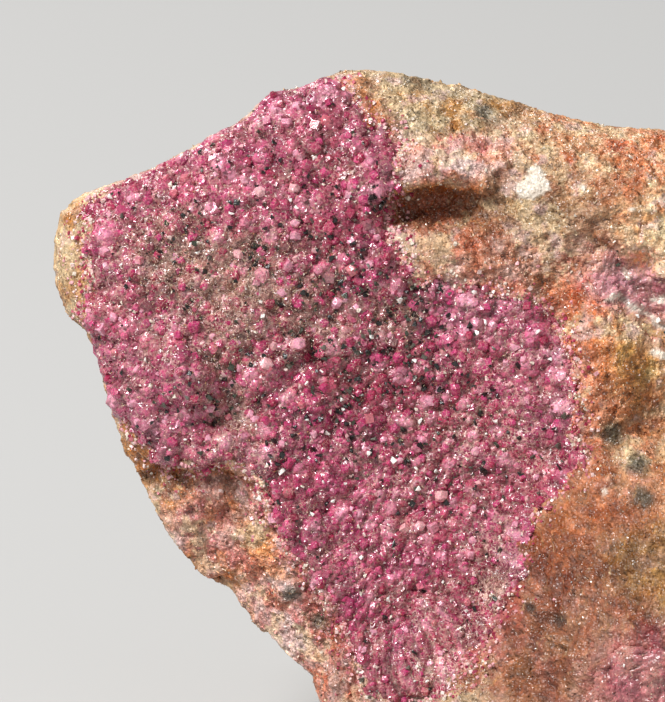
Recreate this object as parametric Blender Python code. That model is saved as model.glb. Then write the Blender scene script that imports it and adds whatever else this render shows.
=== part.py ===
"""Cobaltoan calcite specimen: a broken block of matrix rock with pink druse crusts on its face.

The rock is described in its own face frame, in millimetres: u runs to the right across the crystal
face, v runs up the face and w stands out of it. FACE_ORIGIN is where that frame sits in the world,
and FACE_LEAN tips the face back, so that the block stands on the flat broken base at its foot.
Every solid is one icosphere, pushed out to an outline in u and v and to a front and a back in w.
"""

import math

import bmesh
import bpy
import numpy as np
from mathutils import Matrix, Vector, noise

MM = 0.001

FACE_LEAN = math.radians(12.0)
FACE_ORIGIN = Vector((-10.5, -1.0, 53.5))
FACE_TO_WORLD = (
    Matrix.Translation(FACE_ORIGIN * MM)
    @ Matrix.Rotation(math.pi / 2.0 - FACE_LEAN, 4, "X")
    @ Matrix.Scale(MM, 4)
)
WASTE_SIDE = 240.0

# How far a crust stands out of the rock face and how far it is let into it
CRUST_PROUD = 0.9
CRUST_BEDDED = 1.3
SEAT_GAP = 0.35
CRUST_EDGE_FOOT = -12.5
CRUST_EDGE_TOP = 40.0

# The middle of the block's edge lies at this w, and front and back come round to it
RIM_DEPTH = -11.0
FRONT_SQUARENESS = 8.0
BACK_SQUARENESS = 5.0
BALL_DETAIL = 5
RING_SPACING = 1.15

LUMP_HEIGHT = 0.9
LUMP_SIZE = 9.0
FRONT_UNEVENNESS = 0.5
RIM_UNEVENNESS = 2.0
BACK_UNEVENNESS = 1.6

# Lie of the face: a gentle rise to the right, steeper past one line, and a fall near the top
FACE_RISE = 0.055
LEVEL_AT_U = 5.0
RIGHT_RISE = 0.10
RIGHT_FROM_U = 22.0
TOP_FALL = 0.007
TOP_FROM_V = 14.0

# Ledges: the boulder's shoulder, the drop past the crust's lower edge and the brow of the block
SHOULDER_HEIGHT = 15.0
SHOULDER_SPREAD = 8.0
SHOULDER_LIP = 2.5
FOOT_FALL = 0.75
FOOT_STEP = 1.2
BROW_FALL = 0.62
SLOPE_STEP = 0.2

MATRIX_CENTRE = (14.0, -15.0)
MATRIX_OUTLINE = [
    (-35.0, 14.0), (-34.0, 17.4), (-31.0, 20.0), (-25.5, 21.8), (-17.6, 25.6), (-11.5, 29.0),
    (-7.8, 32.6), (-4.0, 33.2), (0.3, 34.8), (3.0, 35.4), (8.5, 35.0), (18.0, 32.8),
    (33.0, 28.4), (41.5, 27.8), (46.5, 26.6), (50.5, 22.5), (53.5, 14.5), (55.0, 4.0),
    (54.4, -6.0), (56.0, -19.0), (54.5, -33.0), (52.5, -45.0), (49.5, -62.0), (20.0, -65.0),
    (6.0, -62.0), (0.4, -50.0), (-2.5, -41.0), (-5.8, -37.6), (-10.0, -34.2), (-12.8, -29.8),
    (-16.6, -28.0), (-20.4, -23.2), (-23.0, -18.8), (-25.6, -13.4), (-27.6, -8.4), (-30.1, 0.6),
    (-31.0, 2.6), (-33.4, 4.6), (-34.8, 8.6),
]

CRUSTS = {
    "druse_main": [
        (-29.7, 19.4), (-26.2, 21.6), (-20.9, 24.8), (-16.6, 26.6), (-11.8, 29.3), (-8.4, 33.0),
        (-3.8, 33.8), (0.6, 34.6), (2.6, 30.6), (5.9, 27.9), (8.3, 24.6), (7.4, 20.4),
        (6.7, 17.0), (7.6, 13.9), (8.7, 11.1), (10.2, 8.2), (14.7, 7.8), (19.7, 7.2),
        (24.7, 5.6), (28.4, 2.6), (29.4, -1.1), (29.9, -6.1), (30.2, -10.4), (30.8, -13.2),
        (27.8, -17.4), (24.0, -22.6), (22.8, -26.8), (21.4, -31.1), (18.8, -36.1), (15.6, -40.6),
        (11.6, -43.6), (7.2, -44.2), (4.9, -42.0), (3.2, -39.3), (1.6, -35.5), (-0.6, -30.1),
        (-5.1, -24.3), (-7.8, -20.1), (-9.2, -15.9), (-12.6, -13.0), (-17.8, -14.9), (-20.9, -14.0),
        (-22.8, -11.2), (-25.6, -9.7), (-27.8, -6.8), (-29.6, -3.6), (-30.6, 0.4), (-30.8, 2.8),
        (-30.0, 6.4), (-30.4, 11.4), (-30.4, 16.4),
    ],
    "druse_pocket": [
        (30.3, 12.0), (33.4, 12.6), (38.4, 11.1), (44.7, 9.4), (48.4, 5.6), (46.4, 0.8),
        (41.6, 0.6), (38.4, 3.0), (34.7, 6.0), (31.6, 8.6),
    ],
    "druse_corner": [
        (30.3, -42.4), (32.2, -38.0), (35.3, -36.1), (39.7, -36.0), (44.7, -37.4), (47.0, -42.0),
        (44.8, -46.4), (39.0, -47.4), (33.0, -46.6),
    ],
}

# Ledge lines, each followed with the high ground on its left hand
SHOULDER_LINE = [
    (-4.0, -66.0), (4.6, -52.0), (12.6, -41.0), (16.8, -35.0), (19.2, -30.5), (20.3, -26.0),
    (22.4, -20.8), (26.2, -15.6), (29.4, -12.6), (36.0, -10.0), (46.0, -7.0), (60.0, -6.0),
]
FOOT_LINE = [
    (-40.0, -7.0), (-26.3, -10.6), (-22.8, -12.0), (-20.9, -14.6), (-17.8, -15.7), (-12.6, -13.8),
    (-8.9, -16.4), (-7.8, -20.6), (-5.1, -24.9), (-0.6, -30.7), (1.0, -36.1), (0.0, -42.0),
    (-8.0, -52.0),
]
BROW_LINE = [(-12.0, 34.0), (1.6, 30.0), (9.0, 26.6), (16.0, 25.8), (24.0, 27.0), (44.0, 25.5)]

# Swellings and hollows: centre u, v, radius u, v, turn in degrees, height, edge sharpness
SWELLINGS = {
    "druse hollow": (13.0, -15.0, 20.0, 21.0, 20.0, -3.6, 2.0),
    "right rim": (33.6, -3.4, 4.6, 11.0, 0.0, 3.4, 4.0),
    "left knob": (-19.4, -3.4, 3.6, 4.6, 15.0, 2.8, 2.6),
    "pocket beside the knob": (-14.4, -8.4, 4.4, 2.0, 25.0, -1.9, 2.2),
    "upper left swell": (-6.0, 27.0, 7.0, 4.0, 20.0, 1.6, 2.4),
    "lip over the recess": (12.6, 22.2, 6.6, 2.8, 5.0, 2.2, 2.4),
    "recess": (13.0, 17.6, 6.2, 2.6, 3.0, -4.6, 3.0),
    "apron under the recess": (15.0, 11.5, 9.0, 4.0, 10.0, 1.6, 2.0),
    "upper right swell": (34.0, 19.0, 11.0, 7.0, -20.0, 2.4, 2.2),
    "pocket groove": (40.0, 6.5, 9.0, 3.4, -38.0, -3.4, 2.4),
    "hollow under the crust": (-20.5, -16.6, 5.6, 1.8, 8.0, -2.2, 2.4),
    "shoulder top": (42.0, -36.0, 11.0, 13.0, -10.0, 5.0, 2.4),
}

# Broken planes of the back: slope along u, slope along v, w where both are zero
BACK_PLANES = [
    (0.04, -0.03, -30.0),
    (0.10, 0.55, -42.0),
    (-0.65, 0.22, -36.5),
    (-0.34, -0.52, -43.0),
    (0.72, -0.10, -56.0),
    (0.42, 0.30, -46.0),
]
PLANE_SOFTNESS = 0.5


def smooth_step(x):
    x = np.clip(x, 0.0, 1.0)
    return x * x * (3.0 - 2.0 * x)


def beside(line, u, v):
    """Signed distance in mm from a ledge line, positive on its left hand."""
    nearest = np.full(np.shape(u), 1e9)
    signed = np.zeros(np.shape(u))
    for (u0, v0), (u1, v1) in zip(line, line[1:]):
        du, dv = u1 - u0, v1 - v0
        along = np.clip(((u - u0) * du + (v - v0) * dv) / (du * du + dv * dv), 0.0, 1.0)
        gap_u, gap_v = u - u0 - along * du, v - v0 - along * dv
        distance = np.hypot(gap_u, gap_v)
        closer = distance < nearest
        nearest = np.where(closer, distance, nearest)
        signed = np.where(closer, np.where(du * gap_v - dv * gap_u >= 0.0, distance, -distance), signed)
    return signed


def swelling(u, v, shape):
    """A hill or hollow with an elliptical foot."""
    centre_u, centre_v, radius_u, radius_v, turn, height, sharpness = shape
    c, s = math.cos(math.radians(turn)), math.sin(math.radians(turn))
    a = ((u - centre_u) * c + (v - centre_v) * s) / radius_u
    b = ((v - centre_v) * c - (u - centre_u) * s) / radius_v
    return height * np.exp(-np.power(a * a + b * b, sharpness / 2.0))


def face_height(u, v):
    """w of the bare rock face, with the ledges and hollows that the crusts line."""
    w = FACE_RISE * (u - LEVEL_AT_U) + RIGHT_RISE * np.maximum(u - RIGHT_FROM_U, 0.0)
    w -= TOP_FALL * np.square(np.maximum(v - TOP_FROM_V, 0.0))
    for shape in SWELLINGS.values():
        w += swelling(u, v, shape)
    shoulder = np.maximum(-beside(SHOULDER_LINE, u, v), 0.0)
    w += SHOULDER_HEIGHT * (1.0 - np.exp(-shoulder / SHOULDER_SPREAD)) * smooth_step(shoulder / SHOULDER_LIP)
    foot = np.maximum(-beside(FOOT_LINE, u, v), 0.0)
    w -= FOOT_FALL * foot + FOOT_STEP * smooth_step(foot / FOOT_STEP)
    return w - BROW_FALL * np.maximum(beside(BROW_LINE, u, v), 0.0)


def back_height(u, v):
    """w of the back of the block, where a few broken planes meet."""
    planes = [a * u + b * v + c for a, b, c in BACK_PLANES]
    return PLANE_SOFTNESS * np.log(sum(np.exp(p / PLANE_SOFTNESS) for p in planes))


def face_slope(u, v):
    """How steep the rock face is."""
    along_u = face_height(u + SLOPE_STEP, v) - face_height(u - SLOPE_STEP, v)
    along_v = face_height(u, v + SLOPE_STEP) - face_height(u, v - SLOPE_STEP)
    return np.hypot(along_u, along_v) / (2.0 * SLOPE_STEP)


def outline_reach(outline, centre, angle):
    """Distance from the centre to the outline in each direction."""
    points = np.array(outline) - centre
    turns = np.arctan2(points[:, 1], points[:, 0])
    order = np.argsort(turns)
    points, turns = points[order], turns[order]
    last = np.searchsorted(turns, angle) % len(turns)
    p, q = points[last - 1], points[last]
    cross = p[:, 0] * q[:, 1] - p[:, 1] * q[:, 0]
    chord = np.cos(angle) * (q[:, 1] - p[:, 1]) - np.sin(angle) * (q[:, 0] - p[:, 0])
    return cross / chord


def grown(outline, margin):
    """The outline with every point moved out by the margin; the points run clockwise."""
    points = np.array(outline)
    along = np.roll(points, -1, axis=0) - np.roll(points, 1, axis=0)
    along /= np.hypot(along[:, 0], along[:, 1])[:, None]
    return points + margin * np.stack([-along[:, 1], along[:, 0]], axis=1)


def lumps(u, v):
    """Uneven ground over the whole block, in mm."""
    heights = [noise.fractal(Vector((a, b, 0.0)) / LUMP_SIZE, 0.9, 2.1, 3) for a, b in zip(u, v)]
    return LUMP_HEIGHT * np.array(heights)


def in_collection(name, hidden=False):
    collection = bpy.data.collections.new(name)
    bpy.context.scene.collection.children.link(collection)
    collection.hide_render = hidden
    return collection


def finish_material(name, colour, roughness):
    material = bpy.data.materials.new(name)
    material.use_nodes = True
    shader = material.node_tree.nodes["Principled BSDF"]
    shader.inputs["Base Color"].default_value = (*colour, 1.0)
    shader.inputs["Roughness"].default_value = roughness
    shader.inputs["Metallic"].default_value = 0.0
    return material


def block(name, collection, rise, gap=0.0):
    """The rock before its base is cut, with its front and its outline moved out by the rise.

    The gap is taken off again, at right angles to the face.
    """
    ball = bmesh.new()
    bmesh.ops.create_icosphere(ball, subdivisions=BALL_DETAIL, radius=1.0)
    a, b, c = np.array([vertex.co.normalized() for vertex in ball.verts]).T
    angle = np.arctan2(b, a)
    share = np.hypot(a, b) ** RING_SPACING
    reach = outline_reach(MATRIX_OUTLINE, MATRIX_CENTRE, angle) + rise - gap
    u = MATRIX_CENTRE[0] + reach * share * np.cos(angle)
    v = MATRIX_CENTRE[1] + reach * share * np.sin(angle)
    ground = lumps(u, v)
    rim = RIM_DEPTH + RIM_UNEVENNESS * ground
    front = face_height(u, v) + FRONT_UNEVENNESS * ground + rise - gap * np.hypot(1.0, face_slope(u, v))
    back = back_height(u, v) + BACK_UNEVENNESS * lumps(v, u)
    w_front = rim + (front - rim) * np.sqrt(np.maximum(1.0 - share**FRONT_SQUARENESS, 0.0))
    w_back = rim + (back - rim) * np.sqrt(np.maximum(1.0 - share**BACK_SQUARENESS, 0.0))
    w = np.where(c >= 0.0, w_front, w_back)
    for vertex, position in zip(ball.verts, np.stack([u, v, w], axis=1)):
        vertex.co = position
    return solid(name, collection, ball)


def solid(name, collection, shape):
    """An object from a shape in the face frame."""
    mesh = bpy.data.meshes.new(name)
    shape.to_mesh(mesh)
    shape.free()
    mesh.transform(FACE_TO_WORLD)
    obj = bpy.data.objects.new(name, mesh)
    collection.objects.link(obj)
    return obj


def prism(name, collection, outline):
    """An upright wall round an outline, from under the crusts to clear above them."""
    shape = bmesh.new()
    foot = shape.faces.new([shape.verts.new((u, v, CRUST_EDGE_FOOT)) for u, v in outline])
    raised = bmesh.ops.extrude_face_region(shape, geom=[foot])["geom"]
    top = [part for part in raised if isinstance(part, bmesh.types.BMVert)]
    bmesh.ops.translate(shape, vec=(0.0, 0.0, CRUST_EDGE_TOP - CRUST_EDGE_FOOT), verts=top)
    bmesh.ops.recalc_face_normals(shape, faces=shape.faces)
    return solid(name, collection, shape)


def combine(obj, other, operation):
    """Cuts the other shape out of the object, or keeps only what lies inside it."""
    modifier = obj.modifiers.new(operation.lower() + " " + other.name, "BOOLEAN")
    modifier.operation = operation
    modifier.solver = "EXACT"
    modifier.object = other
    other.hide_render = True
    other.display_type = "WIRE"


def waste_below(collection):
    """The ground that the specimen's foot was broken off at: everything below z = 0."""
    side = WASTE_SIDE * MM
    bpy.ops.mesh.primitive_cube_add(size=side, location=(0.0, 0.0, -side / 2.0))
    waste = bpy.context.object
    waste.name = "waste below the base"
    for owner in waste.users_collection:
        owner.objects.unlink(waste)
    collection.objects.link(waste)
    return waste


def main():
    for obj in list(bpy.data.objects):
        bpy.data.objects.remove(obj)
    specimen = in_collection("cobaltoan calcite specimen")
    cutters = in_collection("cutters", hidden=True)

    rock = block("matrix", specimen, 0.0)
    rock.data.materials.append(finish_material("matrix rock", (0.50, 0.30, 0.17), 0.85))
    pink = finish_material("pink druse", (0.52, 0.09, 0.20), 0.35)

    under_crust = block("rock under the crusts", cutters, -CRUST_BEDDED)
    under_seat = block("rock under the seats", cutters, -CRUST_BEDDED, SEAT_GAP)
    for name, outline in CRUSTS.items():
        body = block(name, specimen, CRUST_PROUD)
        body.data.materials.append(pink)
        combine(body, prism(name + " edge", cutters, outline), "INTERSECT")
        combine(body, under_crust, "DIFFERENCE")
        seat = prism(name + " seat", cutters, grown(outline, SEAT_GAP))
        combine(seat, under_seat, "DIFFERENCE")
        combine(rock, seat, "DIFFERENCE")
    combine(rock, waste_below(cutters), "DIFFERENCE")


main()
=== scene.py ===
"""Looks of the cobaltoan calcite specimen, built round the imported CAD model.

The rock is described as in the CAD, in a face frame in millimetres: u runs to the right across the
crystal face, v runs up it and w stands out of it. Colours are listed as sRGB and used as linear.
"""

import itertools
import math

import bmesh
import bpy
import numpy as np
from mathutils import Matrix, Vector, noise


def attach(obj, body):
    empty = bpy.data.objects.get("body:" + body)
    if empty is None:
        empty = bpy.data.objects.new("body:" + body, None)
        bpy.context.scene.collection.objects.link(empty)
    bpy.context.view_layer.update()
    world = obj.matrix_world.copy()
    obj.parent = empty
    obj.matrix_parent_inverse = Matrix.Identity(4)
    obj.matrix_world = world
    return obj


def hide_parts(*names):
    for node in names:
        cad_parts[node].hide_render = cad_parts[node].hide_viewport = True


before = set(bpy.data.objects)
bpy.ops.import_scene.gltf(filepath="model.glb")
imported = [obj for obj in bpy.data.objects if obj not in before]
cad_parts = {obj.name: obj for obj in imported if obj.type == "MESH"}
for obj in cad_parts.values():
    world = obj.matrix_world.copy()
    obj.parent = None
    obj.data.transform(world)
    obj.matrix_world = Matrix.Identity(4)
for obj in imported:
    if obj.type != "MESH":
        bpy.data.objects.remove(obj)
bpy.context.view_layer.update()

MM = 0.001
FACE_LEAN = math.radians(12.0)
FACE_ORIGIN = Vector((-10.5, -1.0, 53.5))
FACE_TO_WORLD = (
    Matrix.Translation(FACE_ORIGIN * MM)
    @ Matrix.Rotation(math.pi / 2.0 - FACE_LEAN, 4, "X")
    @ Matrix.Scale(MM, 4)
)

# The block, as in the CAD
RIM_DEPTH = -11.0
FRONT_SQUARENESS = 8.0
BACK_SQUARENESS = 5.0
RING_SPACING = 1.15
LUMP_HEIGHT = 0.9
LUMP_SIZE = 9.0
FRONT_UNEVENNESS = 0.5
RIM_UNEVENNESS = 2.0
BACK_UNEVENNESS = 1.6
FACE_RISE = 0.055
LEVEL_AT_U = 5.0
RIGHT_RISE = 0.10
RIGHT_FROM_U = 22.0
TOP_FALL = 0.007
TOP_FROM_V = 14.0
SHOULDER_HEIGHT = 15.0
SHOULDER_SPREAD = 8.0
SHOULDER_LIP = 2.5
FOOT_FALL = 0.75
FOOT_STEP = 1.2
BROW_FALL = 0.62

MATRIX_CENTRE = (14.0, -15.0)
MATRIX_OUTLINE = [
    (-35.0, 14.0), (-34.0, 17.4), (-31.0, 20.0), (-25.5, 21.8), (-17.6, 25.6), (-11.5, 29.0),
    (-7.8, 32.6), (-4.0, 33.2), (0.3, 34.8), (3.0, 35.4), (8.5, 35.0), (18.0, 32.8),
    (33.0, 28.4), (41.5, 27.8), (46.5, 26.6), (50.5, 22.5), (53.5, 14.5), (55.0, 4.0),
    (54.4, -6.0), (56.0, -19.0), (54.5, -33.0), (52.5, -45.0), (49.5, -62.0), (20.0, -65.0),
    (6.0, -62.0), (0.4, -50.0), (-2.5, -41.0), (-5.8, -37.6), (-10.0, -34.2), (-12.8, -29.8),
    (-16.6, -28.0), (-20.4, -23.2), (-23.0, -18.8), (-25.6, -13.4), (-27.6, -8.4), (-30.1, 0.6),
    (-31.0, 2.6), (-33.4, 4.6), (-34.8, 8.6),
]

CRUSTS = {
    "druse_main": [
        (-29.7, 19.4), (-26.2, 21.6), (-20.9, 24.8), (-16.6, 26.6), (-11.8, 29.3), (-8.4, 33.0),
        (-3.8, 33.8), (0.6, 34.6), (2.6, 30.6), (5.9, 27.9), (8.3, 24.6), (7.4, 20.4),
        (6.7, 17.0), (7.6, 13.9), (8.7, 11.1), (10.2, 8.2), (14.7, 7.8), (19.7, 7.2),
        (24.7, 5.6), (28.4, 2.6), (29.4, -1.1), (29.9, -6.1), (30.2, -10.4), (30.8, -13.2),
        (27.8, -17.4), (24.0, -22.6), (22.8, -26.8), (21.4, -31.1), (18.8, -36.1), (15.6, -40.6),
        (11.6, -43.6), (7.2, -44.2), (4.9, -42.0), (3.2, -39.3), (1.6, -35.5), (-0.6, -30.1),
        (-5.1, -24.3), (-7.8, -20.1), (-9.2, -15.9), (-12.6, -13.0), (-17.8, -14.9), (-20.9, -14.0),
        (-22.8, -11.2), (-25.6, -9.7), (-27.8, -6.8), (-29.6, -3.6), (-30.6, 0.4), (-30.8, 2.8),
        (-30.0, 6.4), (-30.4, 11.4), (-30.4, 16.4),
    ],
    "druse_pocket": [
        (30.3, 12.0), (33.4, 12.6), (38.4, 11.1), (44.7, 9.4), (48.4, 5.6), (46.4, 0.8),
        (41.6, 0.6), (38.4, 3.0), (34.7, 6.0), (31.6, 8.6),
    ],
    "druse_corner": [
        (30.3, -42.4), (32.2, -38.0), (35.3, -36.1), (39.7, -36.0), (44.7, -37.4), (47.0, -42.0),
        (44.8, -46.4), (39.0, -47.4), (33.0, -46.6),
    ],
}

# Ledge lines, each followed with the high ground on its left hand
SHOULDER_LINE = [
    (-4.0, -66.0), (4.6, -52.0), (12.6, -41.0), (16.8, -35.0), (19.2, -30.5), (20.3, -26.0),
    (22.4, -20.8), (26.2, -15.6), (29.4, -12.6), (36.0, -10.0), (46.0, -7.0), (60.0, -6.0),
]
FOOT_LINE = [
    (-40.0, -7.0), (-26.3, -10.6), (-22.8, -12.0), (-20.9, -14.6), (-17.8, -15.7), (-12.6, -13.8),
    (-8.9, -16.4), (-7.8, -20.6), (-5.1, -24.9), (-0.6, -30.7), (1.0, -36.1), (0.0, -42.0),
    (-8.0, -52.0),
]
BROW_LINE = [(-12.0, 34.0), (1.6, 30.0), (9.0, 26.6), (16.0, 25.8), (24.0, 27.0), (44.0, 25.5)]

# Swellings and hollows: centre u, v, radius u, v, turn in degrees, height, edge sharpness
SWELLINGS = {
    "druse hollow": (13.0, -15.0, 20.0, 21.0, 20.0, -3.6, 2.0),
    "right rim": (33.6, -3.4, 4.6, 11.0, 0.0, 3.4, 4.0),
    "left knob": (-19.4, -3.4, 3.6, 4.6, 15.0, 2.8, 2.6),
    "pocket beside the knob": (-14.4, -8.4, 4.4, 2.0, 25.0, -1.9, 2.2),
    "upper left swell": (-6.0, 27.0, 7.0, 4.0, 20.0, 1.6, 2.4),
    "lip over the recess": (12.6, 22.2, 6.6, 2.8, 5.0, 2.2, 2.4),
    "recess": (13.0, 17.6, 6.2, 2.6, 3.0, -4.6, 3.0),
    "apron under the recess": (15.0, 11.5, 9.0, 4.0, 10.0, 1.6, 2.0),
    "upper right swell": (34.0, 19.0, 11.0, 7.0, -20.0, 2.4, 2.2),
    "pocket groove": (40.0, 6.5, 9.0, 3.4, -38.0, -3.4, 2.4),
    "hollow under the crust": (-20.5, -16.6, 5.6, 1.8, 8.0, -2.2, 2.4),
    "shoulder top": (42.0, -36.0, 11.0, 13.0, -10.0, 5.0, 2.4),
}

# Broken planes of the back: slope along u, slope along v, w where both are zero
BACK_PLANES = [
    (0.04, -0.03, -30.0),
    (0.10, 0.55, -42.0),
    (-0.65, 0.22, -36.5),
    (-0.34, -0.52, -43.0),
    (0.72, -0.10, -56.0),
    (0.42, 0.30, -46.0),
]
PLANE_SOFTNESS = 0.5

PALETTE = {
    "cream": (228, 205, 168),
    "tan": (200, 166, 128),
    "grey_tan": (176, 158, 134),
    "slate": (92, 88, 78),
    "ochre": (196, 140, 84),
    "golden": (208, 160, 98),
    "orange": (205, 118, 72),
    "rust": (160, 84, 50),
    "dark_rust": (96, 48, 28),
    "brown": (146, 104, 72),
    "salmon": (214, 146, 114),
    "salmon_pink": (216, 148, 134),
    "rose": (196, 104, 116),
    "pale_pink": (226, 166, 172),
    "pink_white": (234, 204, 198),
    "milky": (232, 220, 204),
    "dark_green": (58, 62, 50),
    "grey_green": (104, 106, 86),
    "black_brown": (56, 40, 30),
    "crimson": (162, 40, 78),
    "magenta": (184, 56, 108),
    "deep_crimson": (128, 24, 56),
    "dust": (166, 132, 108),
    "olive_dust": (118, 102, 80),
    "near_black": (26, 27, 26),
    "stone_tan": (188, 168, 136),
    "grey_brown": (172, 134, 108),
    "straw": (226, 194, 136),
    "apricot": (212, 146, 92),
    "coral": (208, 124, 96),
    "brick": (186, 98, 68),
    "burnt": (182, 102, 50),
    "sienna": (150, 78, 50),
    "umber": (108, 62, 44),
    "clay": (176, 118, 82),
    "khaki": (132, 100, 56),
    "mauve_brown": (156, 100, 84),
    "mauve_rose": (164, 86, 98),
    "dusky_rose": (200, 124, 124),
    "maroon": (124, 38, 56),
    "dark_maroon": (80, 24, 30),
    "lilac_pink": (226, 156, 178),
    # Near white of the painted glints
    "glint_white": (252, 248, 242),
    "thread": (240, 205, 186),
}

# Broad zones of the bare rock: centre u, v, reach along u, v in mm and the colours mottled there
ROCK_ZONES = {
    "left tip": (-32.0, 12.0, 4.0, 8.0, ["tan", "ochre", "cream"]),
    "upper left of the foot": (-23.0, -14.0, 5.0, 6.0, ["ochre", "apricot", "umber"]),
    "middle of the foot": (-13.0, -24.0, 7.0, 6.0, ["pink_white", "salmon_pink", "dusky_rose", "apricot"]),
    "low end of the foot": (-3.0, -35.0, 5.0, 6.0, ["pink_white", "dusky_rose", "coral"]),
    "grey top": (11.0, 32.0, 11.0, 3.6, ["grey_tan", "stone_tan", "ochre"]),
    "rust beside the crust": (4.0, 29.5, 3.6, 4.0, ["salmon", "brick", "orange"]),
    "pink lip": (13.0, 23.5, 7.0, 2.6, ["pink_white", "dusky_rose", "salmon"]),
    # The recess's dark rust is partly the rock's own colour and partly painted shade under its ledge
    "recess": (13.0, 18.0, 6.0, 2.4, ["dark_rust", "sienna", "rust"]),
    "upper right": (34.0, 24.0, 9.0, 5.0, ["orange", "cream", "salmon", "brick"]),
    "brown middle": (26.0, 18.0, 8.0, 4.5, ["grey_brown", "tan", "brown"]),
    "right edge": (41.0, 16.0, 4.0, 5.0, ["cream", "apricot", "orange"]),
    "below the recess": (16.0, 12.0, 10.0, 3.4, ["salmon", "clay", "coral", "pink_white"]),
    "pocket ridge": (37.0, 7.0, 4.0, 3.0, ["magenta", "lilac_pink", "pink_white", "maroon"]),
    "right of the crust": (32.0, -2.0, 3.6, 8.0, ["orange", "brick", "salmon"]),
    "yellow strip": (36.5, 0.0, 3.4, 6.0, ["golden", "straw", "apricot"]),
    "strip by the dark spots": (39.0, -11.0, 4.0, 5.0, ["clay", "cream", "salmon"]),
    "top of the boulder": (30.0, -19.0, 7.0, 6.0, ["burnt", "mauve_brown", "clay", "salmon"]),
    "khaki side": (38.0, -27.0, 5.0, 4.0, ["khaki", "golden", "grey_brown"]),
    "middle of the boulder": (30.0, -30.0, 7.0, 5.0, ["sienna", "mauve_brown", "umber", "salmon"]),
    "foot of the boulder": (25.0, -39.0, 7.0, 6.0, ["mauve_brown", "clay", "brown"]),
    "mauve corner": (37.0, -39.0, 6.0, 4.0, ["mauve_rose", "mauve_brown", "dusky_rose"]),
    "edge of the shoulder": (20.0, -31.0, 2.6, 8.0, ["dusky_rose", "rose", "coral"]),
}
# Single dark mineral spots: centre u, v and reach in mm
DARK_MARKS = {
    "slate": [(19.0, 30.2, 1.3)],
    "dark_green": [
        (35.0, -10.3, 1.6), (38.0, -14.0, 1.4), (38.5, -18.2, 1.4), (-5.2, -30.4, 1.0), (-1.8, -34.0, 1.3),
    ],
    "near_black": [(24.5, -31.8, 0.9), (28.2, -33.5, 0.9), (21.0, -28.4, 0.7)],
    "dark_maroon": [(40.0, 7.4, 1.0)],
}
# How the zones run into each other, and how strongly shade, sugar and the pink halo show
ZONE_MOTTLING = 5.0
ZONE_WANDER = 1.5
ZONE_GRAIN = 0.3
ZONE_MIXING = 1.0
SHADE_WARMTH = (0.8, 1.0, 1.15)
ROCK_DEPTH = 0.78
ROCK_RICHNESS = 1.16
SUGAR_VEIL = 0.58
HOLLOW_SHADE = 0.42
HOLLOW_WARMTH = (0.7, 1.0, 1.15)
HALO_REACH = 1.3
HALO_STRENGTH = 0.7
# Sharp hollows under ledges: centre u, top v, half width, height, depth in mm
LEDGES = [
    (12.8, 20.5, 6.6, 4.0, 1.9), (-13.4, -28.0, 1.8, 1.6, 1.2),
    (-21.5, -14.4, 4.6, 3.0, 1.8), (-14.6, -14.6, 3.8, 2.2, 1.5),
]
# White calcite standing out of the rock: knobs, listed as the swellings are, and a crooked vein
WHITE_KNOBS = [
    (24.5, 19.9, 1.2, 1.2, -15.0, 0.7, 3.0), (25.7, 20.9, 1.1, 1.3, 20.0, 0.6, 3.0),
    (24.9, 22.2, 0.7, 0.6, 0.0, 0.4, 2.4), (31.4, 20.2, 0.6, 0.5, 0.0, 0.3, 2.4),
    (36.6, 9.4, 0.8, 0.5, -20.0, 0.5, 2.4), (40.6, 6.2, 0.9, 0.6, 10.0, 0.5, 2.4),
    (41.0, -0.5, 0.9, 0.9, 0.0, 0.5, 2.4), (10.1, 29.1, 0.6, 0.4, 0.0, 0.3, 2.4),
    (33.8, -17.4, 0.7, 0.6, 0.0, 0.3, 2.4), (37.4, 17.6, 0.5, 0.5, 0.0, 0.3, 2.4),
]
WHITE_VEIN = [(34.3, 6.1), (35.6, 6.9), (37.4, 5.4), (38.8, 4.6), (40.5, 3.6), (42.5, 2.2)]
VEIN_HEIGHT = 0.5
VEIN_WIDTH = 0.45
SIDE_COLOURS = ["ochre", "tan", "brown", "cream", "salmon", "rust", "grey_tan", "golden"]

# Painted shade and painted light on broad parts of the rock face: centre u, v, reach in mm, part of the light
# taken away, negative where painted light is added
PAINTED_SHADE_AND_LIGHT = [
    (27.0, -27.0, 8.0, 0.25), (37.0, -26.0, 8.0, 0.2), (30.0, -37.0, 8.0, 0.2), (24.0, 15.0, 7.0, 0.1),
    (38.0, 21.0, 6.0, -0.3), (38.0, 12.0, 5.0, -0.3), (-17.0, -21.0, 5.0, -0.2), (-8.0, -30.0, 5.0, -0.2),
    (34.0, 0.0, 5.0, -0.1), (20.0, 26.0, 4.0, -0.15),
]

# Where the druse is dusty, pale or finer grained: centre u, v, reach in mm, amount
DUSTY = [
    (-22.0, 14.0, 5.0, 0.4), (-14.0, 12.0, 6.0, 0.45), (-8.0, 8.0, 6.0, 0.48), (-2.0, 5.0, 5.0, 0.35),
    (4.0, 4.0, 4.0, 0.4), (9.0, 4.0, 3.0, 0.6), (-12.0, 2.0, 6.0, 0.42), (-21.0, 8.0, 5.0, 0.3),
    (-13.0, -6.0, 4.0, 0.5), (-10.0, -11.0, 4.0, 0.3), (20.4, -29.0, 2.0, 0.5), (12.0, -41.0, 3.0, 0.3),
]
PALE = [
    (-27.0, -2.0, 4.0, 0.7), (-24.0, -9.0, 4.0, 0.6), (-20.0, -12.0, 4.0, 0.5), (-12.0, -13.0, 3.0, 0.4),
    (14.0, 7.0, 5.0, 0.7), (21.0, 6.0, 4.0, 0.6), (28.0, 0.0, 2.6, 0.7), (29.4, -7.0, 2.4, 0.9),
    (1.0, 31.0, 4.0, 0.5), (-6.0, 29.0, 5.0, 0.35), (-4.0, -28.0, 4.0, 0.4), (8.0, 22.0, 3.0, 0.5),
    (23.0, -24.0, 2.5, 0.6), (-14.0, 24.0, 5.0, 0.3),
]
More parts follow.
